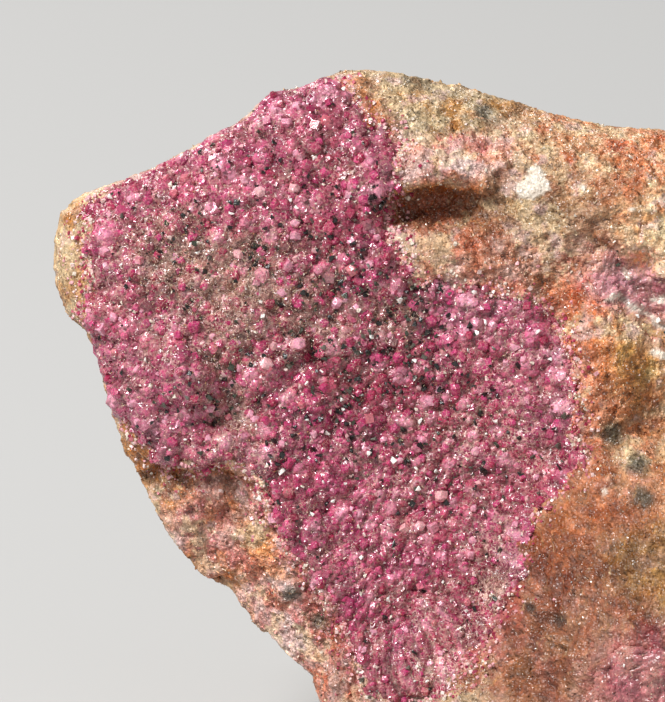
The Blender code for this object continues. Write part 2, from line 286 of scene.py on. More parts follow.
FINE = [
    (38.0, 6.0, 9.0, 0.8), (38.0, -41.0, 9.0, 0.8), (16.0, -22.0, 12.0, 0.45),
    (10.0, -36.0, 8.0, 0.45), (22.0, -6.0, 8.0, 0.3), (-20.0, 10.0, 8.0, 0.15),
]
THREADED = [
    (20.0, -24.0, 3.0, 0.5), (20.0, -31.0, 3.0, 0.6), (13.0, -38.0, 5.0, 0.4), (20.0, -6.0, 9.0, 0.25),
    (8.0, -20.0, 9.0, 0.1), (-8.0, 6.0, 11.0, 0.2), (-20.0, 10.0, 9.0, 0.3), (-10.0, -14.0, 6.0, 0.3),
]
DARK_CLUSTERS = [
    (-17.0, -7.0, 2.2, 1.6), (-23.0, -6.4, 2.0, 0.9), (-8.6, 14.0, 3.0, 0.8), (-12.4, 15.0, 2.0, 0.8),
    (2.0, 2.0, 9.0, 1.0), (9.0, -4.0, 7.0, 1.0), (6.0, 18.0, 3.0, 1.4), (-6.0, 8.0, 9.0, 0.6),
    (12.0, 6.0, 3.0, 1.3), (-14.0, -6.0, 4.0, 0.9), (12.0, -12.0, 8.0, 0.5), (-3.0, -12.0, 7.0, 0.5),
    (-20.0, 12.0, 9.0, 0.35), (-6.0, 24.0, 8.0, 0.35), (20.0, -14.0, 8.0, 0.25),
]

# Lumps of the main crust, listed as the swellings are
CRUST_LUMPS = [
    (-19.0, -2.0, 2.8, 3.6, 20.0, 1.1, 2.6), (-17.4, -7.4, 2.0, 1.2, 20.0, -1.3, 2.2),
    (-12.6, 22.4, 2.0, 1.6, 10.0, 0.8, 2.4), (-4.6, 15.8, 1.4, 1.2, 0.0, 0.7, 2.4),
    (-4.4, 24.6, 1.6, 1.3, 0.0, 0.7, 2.4), (-8.8, -1.6, 1.3, 1.3, 0.0, 0.8, 2.4),
    (-4.2, 0.6, 1.5, 1.2, 0.0, 0.8, 2.4), (2.2, 10.2, 1.6, 1.2, 30.0, 0.7, 2.4),
    (-21.0, 14.0, 2.4, 1.3, 25.0, 0.6, 2.4), (-16.0, 9.0, 2.6, 1.2, 20.0, 0.6, 2.4),
    (-26.0, 8.0, 1.8, 2.6, 0.0, 0.6, 2.4), (3.0, 26.0, 2.2, 1.4, -20.0, 0.6, 2.4),
]

# The bed of the crusts, in mm, and the share of the way to the outline where it ends
BED_STEP = 0.2
BED_SHARE = 0.995
BED_LIFT = 0.05
LUMP_WIDTH = 2.3
LUMP_RISE = 1.1
DOME_SIZE = 1.15
# Where the crusts are tucked into the rock, as a share of the way to the outline
TUCK_SHARE = 0.977
TUCK_WIDTH = 0.016

# Where the zones of the face fade into the made-up sides and foot
SIDES_BELOW_W = -14.0
SIDES_FROM_U = 45.0
FOOT_BELOW_V = -50.0

# The fine part of the rock's ball
BALL_DETAIL = 7
FINE_ABOVE_V = -43.0
FINE_LEFT_OF_U = 42.8

# Where the grains of the sides and the back start, and how far they keep off the floor, in mm
SIDE_GRAINS_FROM_U = 43.0
SIDE_GRAINS_BELOW_V = -46.0
FLOOR_GAP = 1.0

# How many crystals and grains are tried for on a crust of full size, and on the rock
FINE_COUNT = 13000
LARGE_COUNT = 9000
DARK_COUNT = 950
PALE_COUNT = 420
DUST_COUNT = 11000
CLEAR_COUNT = 500
SIDE_GRAIN_COUNT = 28000
FACE_GRAIN_COUNT = 30000
FRINGE_COUNT = 6000
FULL_CRUST_AREA = 3600.0
SMALL_CRUST_SHARE = 0.35
# Where they stand: facing the front, clear of the outline and, on the rock, not far past the picture
FACING_LEAST = 0.3
EDGE_KEPT_CLEAR = 0.45
GRAINS_ABOVE_V = -47.0
GRAINS_LEFT_OF_U = 44.0

# Corners of a needle of dust; the pale needles also stand in for thin lines of glint, a painted highlight
SPLINTER = [
    (-2.6, 0.0, 0.0), (2.6, 0.1, 0.05), (0.2, 0.42, 0.0),
    (-0.3, -0.4, 0.1), (0.1, 0.0, 0.4), (0.0, 0.05, -0.4),
]

# Colours of the crystals by share; on a crust without an entry they follow the rock's zones
CRYSTAL_COLOURS = {
    "druse_main": {"deep_crimson": 3.0, "magenta": 2.0, "lilac_pink": 1.2, "pale_pink": 0.8},
}

# Crystals seen one by one on the main crust: u, v and size in mm
PINK_CRYSTALS = [
    (13.6, -18.3, 1.4), (12.6, -22.1, 1.1), (10.9, -22.0, 0.9), (9.0, -22.3, 0.9), (12.2, -19.4, 0.7),
    (17.2, -25.5, 0.9), (-4.7, 15.8, 1.0), (-4.1, 24.5, 1.0), (-2.2, 28.2, 1.3), (-8.4, -1.8, 1.1),
    (-11.8, 12.0, 0.9), (-4.3, 0.8, 1.1),
    (2.4, 10.1, 1.1), (-24.2, 11.3, 0.9), (4.6, -8.4, 1.0), (9.0, 3.6, 0.8), (0.6, 6.0, 1.0),
    (-15.4, -11.0, 0.8), (24.0, -1.2, 0.8), (20.0, 3.2, 0.8), (-9.0, 20.0, 0.9),
]
# White grains seen one by one on the main crust, painted glints standing for flashes of light off crystal
# faces: u, v and size in mm
PAINTED_GLINTS = [
    (17.9, 2.4, 0.8), (-2.8, -20.0, 0.8), (7.4, -13.4, 0.6), (4.4, -13.0, 0.7), (-6.2, -14.9, 0.8),
    (8.3, 6.8, 0.8), (-12.7, 17.0, 0.6), (-8.6, 6.4, 0.6), (-2.5, 24.0, 0.5), (-17.0, 12.6, 0.5),
    (1.4, -6.0, 0.5), (11.0, -9.0, 0.5), (-1.0, -10.0, 0.6), (-9.0, -18.0, 0.6), (5.0, 2.0, 0.5),
    (-5.6, 18.6, 0.5), (-27.6, 19.0, 0.5), (-26.6, 10.8, 0.6), (-19.6, 20.2, 0.5), (3.4, -25.6, 0.5),
    (10.6, -17.0, 0.5), (20.4, -8.6, 0.45), (6.6, -31.0, 0.5), (15.0, -31.0, 0.5), (-3.0, -4.0, 0.5),
]

# White calcite grains on the bare rock: u, v and size in mm
CALCITE_GRAINS = [
    (26.6, 21.9, 0.4), (23.6, 18.6, 0.4), (25.4, 23.2, 0.4), (31.4, 20.2, 0.5),
    (33.0, 19.6, 0.35), (36.7, 9.8, 0.7), (40.9, 6.2, 0.8), (41.2, -0.6, 0.8), (33.8, -17.5, 0.7),
    (15.5, 9.4, 0.4), (16.6, 8.9, 0.35), (21.6, 8.4, 0.4), (22.4, 7.9, 0.35), (10.1, 29.1, 0.45),
    (27.4, 27.6, 0.35), (37.2, 24.2, 0.5), (35.4, 25.8, 0.3), (-7.4, -29.6, 0.4), (-1.0, -32.4, 0.4),
    (30.3, 16.9, 0.3), (29.8, 9.9, 0.3), (-34.2, 14.6, 0.3), (32.0, -28.6, 0.3), (19.2, 22.6, 0.3),
]

# How light passes through the minerals
MINERAL_IOR = 1.6
SCATTER_MM = 0.5
SCATTER_BY_COLOUR = (1.0, 0.45, 0.45)

# The stage: the camera in mm, the floor, and the lights with their sizes and places in metres
SENSOR = 36.0
VIEW_DISTANCE = 1400.0
FRAME_HEIGHT = 87.75
FLOOR_COLOUR = (0.46, 0.455, 0.445)
AMBIENT = 0.22
LIT_MIDDLE = (0.0, 0.0, 0.045)
LIGHT_DISTANCE = 1.6
KEY_POWER = 32.0
KEY_SIZE = 0.5
FILL_POWER = 4.5
FILL_SIZE = 1.6
RIM_POWER = 16.0
RIM_SIZE = 0.6


def linear(name):
    """A palette colour as linear red, green and blue."""
    c = np.array(PALETTE[name]) / 255.0
    return np.where(c <= 0.04045, c / 12.92, ((c + 0.055) / 1.055) ** 2.4)


def blended(colour, over, share):
    """A colour with another laid over it by a share for each point."""
    return colour + (over - colour) * share[:, None]


# Noise over arrays of points


def hashed(cell, seed):
    """A repeatable number from 0 to 1 for each whole-number cell."""
    n = cell.astype(np.uint64)
    n = n[:, 0] * np.uint64(73856093) ^ n[:, 1] * np.uint64(19349663) ^ n[:, 2] * np.uint64(83492791)
    n = (n + np.uint64(seed * 2654435761)) * np.uint64(6364136223846793005)
    n += np.uint64(1442695040888963407)
    n ^= n >> np.uint64(29)
    n *= np.uint64(3935559000370003845)
    return (n >> np.uint64(40)).astype(float) / 2.0**24


def smooth_noise(points, size, seed):
    """Noise from -1 to 1 that varies over the size."""
    p = points / size
    cell = np.floor(p).astype(np.int64)
    f = p - cell
    f = f * f * (3.0 - 2.0 * f)
    total = np.zeros(len(p))
    for corner in itertools.product((0, 1), repeat=3):
        weight = np.prod(np.where(corner, f, 1.0 - f), axis=1)
        total += weight * hashed(cell + corner, seed)
    return 2.0 * total - 1.0


def rough_noise(points, size, octaves, seed):
    """Noise about from -1 to 1 with finer and finer noise on it."""
    total = sum(smooth_noise(points, size / 2.03**n, seed + n) * 0.52**n for n in range(octaves))
    return total / 1.6


def chips(points, size, seed):
    """Small tilted facets: height, distance to the facet's centre, its number, way to its edge."""
    p = points / size
    home = np.floor(p).astype(np.int64)
    best = np.full(len(p), 1e9)
    second = np.full(len(p), 1e9)
    height = np.zeros(len(p))
    number = np.zeros(len(p))
    for step in itertools.product((-1, 0, 1), repeat=3):
        cell = home + step
        jitter = np.stack([hashed(cell, seed + k) for k in range(3)], axis=1)
        offset = p - cell - jitter
        distance = np.sum(offset * offset, axis=1)
        tilt = np.stack([hashed(cell, seed + k) for k in (3, 4, 5)], axis=1) - 0.5
        closer = distance < best
        second = np.where(closer, best, np.minimum(second, distance))
        best = np.where(closer, distance, best)
        facet = np.sum(offset * tilt, axis=1) + 0.6 * (hashed(cell, seed + 6) - 0.5)
        height = np.where(closer, facet, height)
        number = np.where(closer, hashed(cell, seed + 7), number)
    return height, np.sqrt(best), number, np.sqrt(second) - np.sqrt(best)


# The block's surface, as in the CAD


def smooth_step(x):
    x = np.clip(x, 0.0, 1.0)
    return x * x * (3.0 - 2.0 * x)


def off_segment(u0, v0, du, dv, u, v):
    """Offsets of places from the nearest point of a segment."""
    along = np.clip(((u - u0) * du + (v - v0) * dv) / (du * du + dv * dv), 0.0, 1.0)
    return u - u0 - along * du, v - v0 - along * dv


def beside(line, u, v):
    """Signed distance in mm from a ledge line, positive on its left hand."""
    nearest = np.full(np.shape(u), 1e9)
    signed = np.zeros(np.shape(u))
    for (u0, v0), (u1, v1) in zip(line, line[1:]):
        du, dv = u1 - u0, v1 - v0
        gap_u, gap_v = off_segment(u0, v0, du, dv, u, v)
        distance = np.hypot(gap_u, gap_v)
        closer = distance < nearest
        nearest = np.where(closer, distance, nearest)
        signed = np.where(closer, np.where(du * gap_v - dv * gap_u >= 0.0, distance, -distance), signed)
    return signed


def swelling(u, v, shape):
    """A hill or hollow with an elliptical foot."""
    centre_u, centre_v, radius_u, radius_v, turn, height, sharpness = shape
    c, s = math.cos(math.radians(turn)), math.sin(math.radians(turn))
    a = ((u - centre_u) * c + (v - centre_v) * s) / radius_u
    b = ((v - centre_v) * c - (u - centre_u) * s) / radius_v
    return height * np.exp(-np.power(a * a + b * b, sharpness / 2.0))


def face_height(u, v):
    """w of the bare rock face, with the ledges and hollows that the crusts line."""
    w = FACE_RISE * (u - LEVEL_AT_U) + RIGHT_RISE * np.maximum(u - RIGHT_FROM_U, 0.0)
    w -= TOP_FALL * np.square(np.maximum(v - TOP_FROM_V, 0.0))
    for shape in SWELLINGS.values():
        w += swelling(u, v, shape)
    shoulder = np.maximum(-beside(SHOULDER_LINE, u, v), 0.0)
    w += SHOULDER_HEIGHT * (1.0 - np.exp(-shoulder / SHOULDER_SPREAD)) * smooth_step(shoulder / SHOULDER_LIP)
    foot = np.maximum(-beside(FOOT_LINE, u, v), 0.0)
    w -= FOOT_FALL * foot + FOOT_STEP * smooth_step(foot / FOOT_STEP)
    return w - BROW_FALL * np.maximum(beside(BROW_LINE, u, v), 0.0)


def back_height(u, v):
    """w of the back of the block, where a few broken planes meet."""
    planes = [a * u + b * v + c for a, b, c in BACK_PLANES]
    return PLANE_SOFTNESS * np.log(sum(np.exp(p / PLANE_SOFTNESS) for p in planes))


def outline_reach(angle):
    """Distance from the block's centre to its outline in each direction."""
    points = np.array(MATRIX_OUTLINE) - MATRIX_CENTRE
    turns = np.arctan2(points[:, 1], points[:, 0])
    order = np.argsort(turns)
    points, turns = points[order], turns[order]
    last = np.searchsorted(turns, angle) % len(turns)
    p, q = points[last - 1], points[last]
    cross = p[:, 0] * q[:, 1] - p[:, 1] * q[:, 0]
    chord = np.cos(angle) * (q[:, 1] - p[:, 1]) - np.sin(angle) * (q[:, 0] - p[:, 0])
    return cross / chord


def lumps(u, v):
    """Uneven ground over the whole block, in mm."""
    heights = [noise.fractal(Vector((a, b, 0.0)) / LUMP_SIZE, 0.9, 2.1, 3) for a, b in zip(u, v)]
    return LUMP_HEIGHT * np.array(heights)


def front_surface(u, v, share):
    """w of the front, coming round to the rim."""
    ground = lumps(u, v)
    rim = RIM_DEPTH + RIM_UNEVENNESS * ground
    front = face_height(u, v) + FRONT_UNEVENNESS * ground
    return rim + (front - rim) * np.sqrt(np.maximum(1.0 - share**FRONT_SQUARENESS, 0.0))


def back_surface(u, v, share):
    """w of the back, coming round to the rim."""
    rim = RIM_DEPTH + RIM_UNEVENNESS * lumps(u, v)
    back = back_height(u, v) + BACK_UNEVENNESS * lumps(v, u)
    return rim + (back - rim) * np.sqrt(np.maximum(1.0 - share**BACK_SQUARENESS, 0.0))


def within(outline, u, v):
    """Signed distance in mm from an outline, positive inside it."""
    points = np.array(outline)
    nearest = np.full(np.shape(u), 1e9)
    inside = np.zeros(np.shape(u), bool)
    for (u0, v0), (u1, v1) in zip(points, np.roll(points, -1, axis=0)):
        du, dv = u1 - u0, v1 - v0
        nearest = np.minimum(nearest, np.hypot(*off_segment(u0, v0, du, dv, u, v)))
        if dv != 0.0:
            inside ^= ((v0 > v) != (v1 > v)) & (u < u0 + du * (v - v0) / dv)
    return np.where(inside, nearest, -nearest)


def flat(u, v):
    """The places u, v as points on the plane where w is zero."""
    return np.stack([u, v, np.zeros(len(u))], axis=1)


def near_crusts(u, v):
    """Distance in mm from the nearest crust, negative inside one."""
    return -np.max([within(outline, u, v) for outline in CRUSTS.values()], axis=0)


def from_centre(u, v):
    """Direction and distance of places from the block's centre."""
    u, v = u - MATRIX_CENTRE[0], v - MATRIX_CENTRE[1]
    return np.arctan2(v, u), np.hypot(u, v)


def at_reach(angle, reach):
    """The places at a direction and distance from the block's centre."""
    return MATRIX_CENTRE[0] + reach * np.cos(angle), MATRIX_CENTRE[1] + reach * np.sin(angle)


def in_crust(outline, u, v):
    """As within, but with a ragged edge."""
    p = flat(u, v)
    return within(outline, u, v) + 0.9 * smooth_noise(p, 2.6, 11) + 0.45 * smooth_noise(p, 0.9, 12)


def amount(spots, u, v):
    """How much of something there is, from a list of spots."""
    total = np.zeros(np.shape(u))
    for centre_u, centre_v, reach, share in spots:
        total += share * np.exp(-((u - centre_u) ** 2 + (v - centre_v) ** 2) / reach**2)
    return total


# Meshes from arrays


def piece(name, points, faces, tint, uv, smooth=True):
    """A piece of the object from face-frame points, in mm, and triangles or quads."""
    mesh = bpy.data.meshes.new(name)
    mesh.vertices.add(len(points))
    mesh.vertices.foreach_set("co", np.asarray(points, np.float32).ravel())
    sides = faces.shape[1]
    mesh.loops.add(faces.size)
    mesh.loops.foreach_set("vertex_index", faces.astype(np.int32).ravel())
    mesh.polygons.add(len(faces))
    mesh.polygons.foreach_set("loop_start", np.arange(0, faces.size, sides, dtype=np.int32))
    mesh.polygons.foreach_set("loop_total", np.full(len(faces), sides, np.int32))
    mesh.polygons.foreach_set("use_smooth", np.full(len(faces), smooth))
    mesh.update(calc_edges=True)
    mesh.transform(FACE_TO_WORLD)
    paint(mesh, tint)
    layer = mesh.uv_layers.new(name="OFBake")
    layer.data.foreach_set("uv", uv[faces.ravel()].astype(np.float32).ravel())
    obj = bpy.data.objects.new(name, mesh)
    bpy.context.scene.collection.objects.link(obj)
    return obj


def paint(mesh, tint):
    """Stores a linear colour for each vertex, with its alpha the amount of thread or specks."""
    colours = np.ones((len(tint), 4), np.float32)
    colours[:, : tint.shape[1]] = tint
    mesh.color_attributes.new(name="tint", type="FLOAT_COLOR", domain="POINT")
    mesh.color_attributes["tint"].data.foreach_set("color", colours.ravel())


def normals_of(points, faces):
    """Smooth normals of a triangle or quad mesh."""
    a, b, c = points[faces[:, 0]], points[faces[:, 1]], points[faces[:, 2]]
    facing = np.cross(b - a, c - a)
    normals = np.zeros_like(points)
    for corner in range(faces.shape[1]):
        np.add.at(normals, faces[:, corner], facing)
    return normals / np.maximum(np.linalg.norm(normals, axis=1, keepdims=True), 1e-12)


# The rock


def zone_colour(points):
    """Mottled colour of the zones of the face, which run into each other grain by grain."""
    wander = np.stack([rough_noise(points, 3.2, 5, seed) for seed in (20, 30)], axis=1)
    grain = np.floor(points / ZONE_GRAIN).astype(np.int64)
    mixing = np.stack([hashed(grain, seed) + hashed(grain, seed + 1) - 1.0 for seed in (24, 26)], axis=1)
    u = points[:, 0] + ZONE_WANDER * wander[:, 0] + ZONE_MIXING * mixing[:, 0]
    v = points[:, 1] + ZONE_WANDER * wander[:, 1] + ZONE_MIXING * mixing[:, 1]
    patches = [np.exp(ZONE_MOTTLING * rough_noise(points, 2.6, 5, 190 + 10 * k)) for k in range(4)]
    total = np.full(len(points), 1e-6)
    colour = np.zeros((len(points), 3))
    for centre_u, centre_v, reach_u, reach_v, names in ROCK_ZONES.values():
        square = ((u - centre_u) / reach_u) ** 2 + ((v - centre_v) / reach_v) ** 2
        zone = np.exp(-1.4 * square) + 0.002 / (1.0 + square**2)
        shares = zone / sum(patches[: len(names)])
        total += zone
        for patch, name in zip(patches, names):
            colour += (shares * patch)[:, None] * linear(name)
    return colour / total[:, None]


def sugared(colour, points):
    """A colour under ragged patches of pale sugar, with painted shade, darker and warmer, in the hollows
    between them.
    """
    ground = rough_noise(points, 3.4, 6, 110) + 0.35 * rough_noise(points, 0.8, 3, 120)
    bare = 1.0 - 0.7 * by_the_shoulder(points[:, 0], points[:, 1])
    veil = smooth_step((ground - 0.08) / 0.22) * bare
    whiter = smooth_step((rough_noise(points, 2.0, 4, 130) - 0.1) / 0.3)
    colour = blended(colour, blended(linear("cream"), linear("pink_white"), whiter), SUGAR_VEIL * veil)
    # Painted shade in the low places of the sugar's noise, taking more blue than red away
    shade = smooth_step((-0.1 - ground) / 0.25)
    return colour * (1.0 - HOLLOW_SHADE * shade[:, None] * np.array(HOLLOW_WARMTH))


def marked(colour, points):
    """A colour with the single dark mineral spots on it, ragged at their edges."""
    ragged = [0.5 * rough_noise(points, 1.4, 4, seed) for seed in (231, 232)]
    for name, marks in DARK_MARKS.items():
        for centre_u, centre_v, reach in marks:
            off_u = points[:, 0] + ragged[0] - centre_u
            off_v = points[:, 1] + ragged[1] - centre_v
            square = (off_u**2 + off_v**2) / reach**2
            colour = blended(colour, linear(name), 0.85 * np.exp(-(square**2)))
    return colour


def broken_colour(points):
    """Mottled colour of the made-up sides and back, with rusty cracks, dirt and sugar."""
    colour = np.zeros((len(points), 3))
    mix = np.zeros(len(points))
    for k, name in enumerate(SIDE_COLOURS):
        weight = np.exp(6.0 * rough_noise(points, 7.0, 6, 60 + 7 * k))
        colour += weight[:, None] * linear(name)
        mix += weight
    colour /= mix[:, None]
    crack = np.exp(-((rough_noise(points, 6.0, 5, 150) / 0.035) ** 2))
    crack *= smooth_step(0.5 + rough_noise(points, 9.0, 3, 160))
    colour = blended(colour, linear("dark_rust"), 0.7 * crack)
    dirt = smooth_step((rough_noise(points, 3.0, 5, 170) - 0.15) / 0.2)
    colour = blended(colour, linear("brown") * 0.6, 0.45 * dirt)
    sugar = chips(points, 0.9, 45)[2] + 1.2 * rough_noise(points, 5.0, 4, 180)
    return blended(colour, linear("cream"), 0.5 * smooth_step((sugar - 0.85) / 0.2))


def haloed(colour, points):
    """A colour turned pink and white just outside the crusts."""
    u, v = points[:, 0], points[:, 1]
    halo = np.exp(-np.maximum(near_crusts(u, v), 0.0) / HALO_REACH)
    halo *= smooth_step(0.55 + 1.6 * rough_noise(points, 1.8, 4, 95))
    halo *= 1.0 - 0.8 * by_the_shoulder(u, v)
    rosy = smooth_step(0.4 + 1.5 * rough_noise(points, 1.2, 3, 96))
    return blended(colour, blended(linear("pink_white"), linear("rose"), rosy), HALO_STRENGTH * halo)


def rock_tint(points, normals):
    """Colour of the rock at each point: zones on the face, mottled rock elsewhere."""
    u, v = points[:, 0], points[:, 1]
    colour = marked(sugared(haloed(zone_colour(points), points), points), points)
    # The hollows under the ledges turn sienna with their depth: partly the rock's rust, partly painted shade
    colour = blended(colour, linear("sienna"), 0.8 * smooth_step(undercut(u, v) / 1.6))
    colour = blended(colour, linear("burnt"), 0.85 * ledge_edge(u, v))
    # Painted shade darkens broad parts of the rock face and painted light brightens others
    colour *= (1.0 - np.clip(amount(PAINTED_SHADE_AND_LIGHT, u, v), -0.5, 0.8))[:, None] ** SHADE_WARMTH
    facing = smooth_step((normals[:, 2] - 0.02) / 0.3) * smooth_step((points[:, 2] - SIDES_BELOW_W) / 4.0)
    facing *= smooth_step((SIDES_FROM_U - u) / 5.0) * smooth_step((v - FOOT_BELOW_V) / 5.0)
    tint = blended(broken_colour(points), colour, facing)
    grey = tint.mean(axis=1, keepdims=True)
    return np.clip(ROCK_DEPTH * (grey + (tint - grey) * ROCK_RICHNESS), 0.0, 1.0)


def speckled(colour, points, seed, pale=0.5, dark=0.5):
    """Grain-sized variation of a colour."""
    grain = chips(points, 0.42, seed)[2]
    coarse = chips(points, 0.9, seed + 9)[2]
    shade = 1.0 + 0.35 * rough_noise(points, 1.1, 3, seed + 1) + 0.3 * (coarse - 0.5)
    lift = 1.0 + pale * smooth_step((grain - 0.72) / 0.28)
    drop = 1.0 - dark * smooth_step((0.22 - grain) / 0.22)
    return np.clip(colour * (shade * lift * drop)[:, None], 0.0, 1.0)


def calcite(u, v):
    """Height in mm of the white calcite that stands out of the rock."""
    ground = flat(u, v)
    u, v = u + 0.9 * rough_noise(ground, 1.7, 3, 141), v + 0.9 * rough_noise(ground, 1.7, 3, 142)
    knobs = sum(swelling(u, v, knob) for knob in WHITE_KNOBS)
    vein = np.exp(-((beside(WHITE_VEIN, u, v) / VEIN_WIDTH) ** 2))
    return knobs + VEIN_HEIGHT * vein


def whitened(colour, points):
    """A colour turned milky where calcite stands out."""
    rise = calcite(points[:, 0], points[:, 1])
    there = smooth_step((rise - 0.12) / 0.2 + 0.5 * rough_noise(points, 0.9, 3, 140) * (rise > 0.03))
    there *= smooth_step((points[:, 2] - SIDES_BELOW_W) / 4.0)
    return blended(colour, linear("milky"), 0.9 * there)


def by_the_shoulder(u, v):
    """1 where the crust ends against the shoulder of rock at the lower right, 0 elsewhere."""
    return smooth_step((u - 17.0) / 4.0) * smooth_step((-13.0 - v) / 3.0)


def undercut(u, v):
    """Depth of the sharp hollows that lie below a ledge: steep under the ledge, shallow below it."""
    total = np.zeros(np.shape(u))
    for *ledge, depth in LEDGES:
        below, tapered, reach = under_ledge(u, v, *ledge)
        shallower = np.clip((tapered - below) / tapered, 0.0, 1.0) ** 1.2
        total += depth * smooth_step(below / 0.5) * shallower * reach
    return total


def under_ledge(u, v, centre_u, top_v, half_width, height):
    """Way down from a ledge's edge, height of the hollow there and share of its depth."""
    across = (u - centre_u) / half_width
    below = top_v + 0.3 * np.sin(1.1 * u) - 1.2 * across**2 - v
    tapered = height * (1.0 - 0.5 * np.clip(across, -1.0, 1.0))
    return below, tapered, np.maximum(1.0 - across**2, 0.0) ** 0.6


def ledge_edge(u, v):
    """1 along the edge of each ledge, 0 away from it."""
    total = np.zeros(np.shape(u))
    for *ledge, _ in LEDGES:
        below, _, reach = under_ledge(u, v, *ledge)
        total += np.exp(-(((below - 0.1) / 0.7) ** 2)) * reach
    return np.clip(total, 0.0, 1.0)


def tucked(share):
    """1 where the crusts are tucked into the rock at the block's outline, 0 elsewhere."""
    return smooth_step((share - TUCK_SHARE) / TUCK_WIDTH)


def rock_ball():
    """Directions and faces of a ball, finer where the rock is bare and in the picture."""
    ball = bmesh.new()
    bmesh.ops.create_icosphere(ball, subdivisions=BALL_DETAIL, radius=1.0)
    centres = np.array([edge.verts[0].co + edge.verts[1].co for edge in ball.edges]) / 2.0
    u, v, _ = spread(centres)
    bare = -near_crusts(u, v) < 0.6
    wanted = (centres[:, 2] > -0.01) & bare & (v > FINE_ABOVE_V) & (u < FINE_LEFT_OF_U)
    chosen = [edge for edge, w in zip(ball.edges, wanted) if w]
    bmesh.ops.subdivide_edges(ball, edges=chosen, cuts=2, use_grid_fill=True)
    bmesh.ops.triangulate(ball, faces=ball.faces)
    ball.verts.ensure_lookup_table()
    directions = np.array([vertex.co.normalized() for vertex in ball.verts])
    faces = np.array([[vertex.index for vertex in face.verts] for face in ball.faces])
    ball.free()
    return directions, faces


def rock_relief(points, directions, share):
    """Height in mm of the rock's broken ground, calmer at the rim."""
    u, v = points[:, 0], points[:, 1]
    front = directions[:, 2] >= 0.0
    calm = 1.0 - 0.8 * smooth_step((share - 0.9) / 0.08)
    half_calm = 0.3 + 0.7 * calm
    relief = rough_noise(points, 5.5, 5, 1) * np.where(front, 0.8, 0.6) * calm
    broken = (1.7 * chips(points, 9.0, 7)[0] + 1.5 * chips(points, 4.2, 2)[0]) * calm
    relief += broken * smooth_step(-directions[:, 2] / 0.1)
    relief += 0.9 * chips(points, 2.1, 3)[0] * half_calm
    relief += 0.5 * rough_noise(points, 1.6, 3, 6) * half_calm
    relief += (0.55 * chips(points, 0.85, 4)[0] + 0.28 * chips(points, 0.42, 5)[0]) * half_calm
    knob = calcite(u, v) * front
    return relief + (knob - 0.7 * relief * smooth_step(knob / 0.3) - undercut(u, v) * front)


def rock_colour(points, normals, relief, crusted, share):
    """Colour of the rock's points: pink inside the crusts at the rim, with painted shade darkening its
    hollows.
    """
    colour = whitened(speckled(rock_tint(points, normals), points, 40), points)
    pink = smooth_step(crusted / 0.6) * smooth_step((share - 0.9) / 0.03)
    pink *= smooth_step((points[:, 2] - SIDES_BELOW_W) / 3.0)
    colour = blended(colour, druse_tint(points), pink)
    # Painted shade: darker where the relief dips into hollows
    return colour * (1.0 - 0.35 * smooth_step((-relief - 0.25) / 0.9))[:, None]


def rock():
    """The whole block, with a flat foot and with its face let down under the crusts.

    Gives the piece, its points, and the faces of its front and of its sides and back.
    """
    directions, faces = rock_ball()
    u, v, share = spread(directions)
    front = directions[:, 2] >= 0.0
    w = np.where(front, front_surface(u, v, share), back_surface(u, v, share))
    points = np.stack([u, v, w], axis=1)
    normals = normals_of(points, faces)
    crusted = np.max([in_crust(outline, u, v) for outline in CRUSTS.values()], axis=0)
    under = smooth_step(crusted / 1.2) * front * (1.0 - tucked(share))
    relief = rock_relief(points, directions, share)
    points += normals * (relief * (1.0 - 0.8 * under) - 1.1 * under)[:, None]
    normals = normals_of(points, faces)
    colour = rock_colour(points, normals, relief, crusted, share)
    specks = 1.0 - 0.8 * by_the_shoulder(u, v)
    colour = np.concatenate([colour, specks[:, None]], axis=1)
    uv = np.stack([(u + 40.0) / 200.0 + np.where(front, 0.0, 0.5), (v + 70.0) / 110.0], axis=1)
    obj = piece("matrix_rock", points, faces, colour, uv)
    flat_foot(obj)
    return obj, points, *parted(points, faces, normals)


def parted(points, faces, normals):
    """The faces of the front, and those of the sides and back that are clear of the floor."""
    middle = points[faces].mean(axis=1)
    seen = (normals[faces[:, 0], 2] > 0.0) & (middle[:, 2] > -12.0)
    height = FACE_ORIGIN.z + middle[:, 1] * math.cos(FACE_LEAN) + middle[:, 2] * math.sin(FACE_LEAN)
    away = middle[:, 2] < RIM_DEPTH
    away |= (middle[:, 0] > SIDE_GRAINS_FROM_U) | (middle[:, 1] < SIDE_GRAINS_BELOW_V)
    return faces[seen], faces[away & (height > FLOOR_GAP)]


def flat_foot(obj):
    """Cuts a piece off at the plane it stands on and closes it."""
    shape = bmesh.new()
    shape.from_mesh(obj.data)
    everything = shape.verts[:] + shape.edges[:] + shape.faces[:]
    down = (0.0, 0.0, -1.0)
    cut = bmesh.ops.bisect_plane(shape, geom=everything, dist=1e-7, plane_no=down, clear_outer=True)
    rim = [part for part in cut["geom_cut"] if isinstance(part, bmesh.types.BMEdge)]
    bmesh.ops.holes_fill(shape, edges=rim, sides=0)
    bmesh.ops.triangulate(shape, faces=[face for face in shape.faces if len(face.verts) > 4])
    shape.to_mesh(obj.data)
    shape.free()


def spread(directions):
    """u, v and share of the way to the outline for each direction, as in the CAD."""
    angle = np.arctan2(directions[:, 1], directions[:, 0])
    share = np.hypot(directions[:, 0], directions[:, 1]) ** RING_SPACING
    reach = outline_reach(angle) * share
    return *at_reach(angle, reach), share


def held_in(u, v):
    """Points drawn back onto the block's outline where they lie past it, and their share."""
    angle, distance = from_centre(u, v)
    reach = outline_reach(angle)
    share = np.minimum(distance / reach, 1.0)
    return *at_reach(angle, share * reach), share


# The crusts


def lump_cells(u, v):
    """Rounded lumps of the druse: way from each lump's middle, its number, way to its edge."""
    return chips(flat(u, v) / crystal_size(u, v)[:, None], LUMP_WIDTH, 97)[1:]


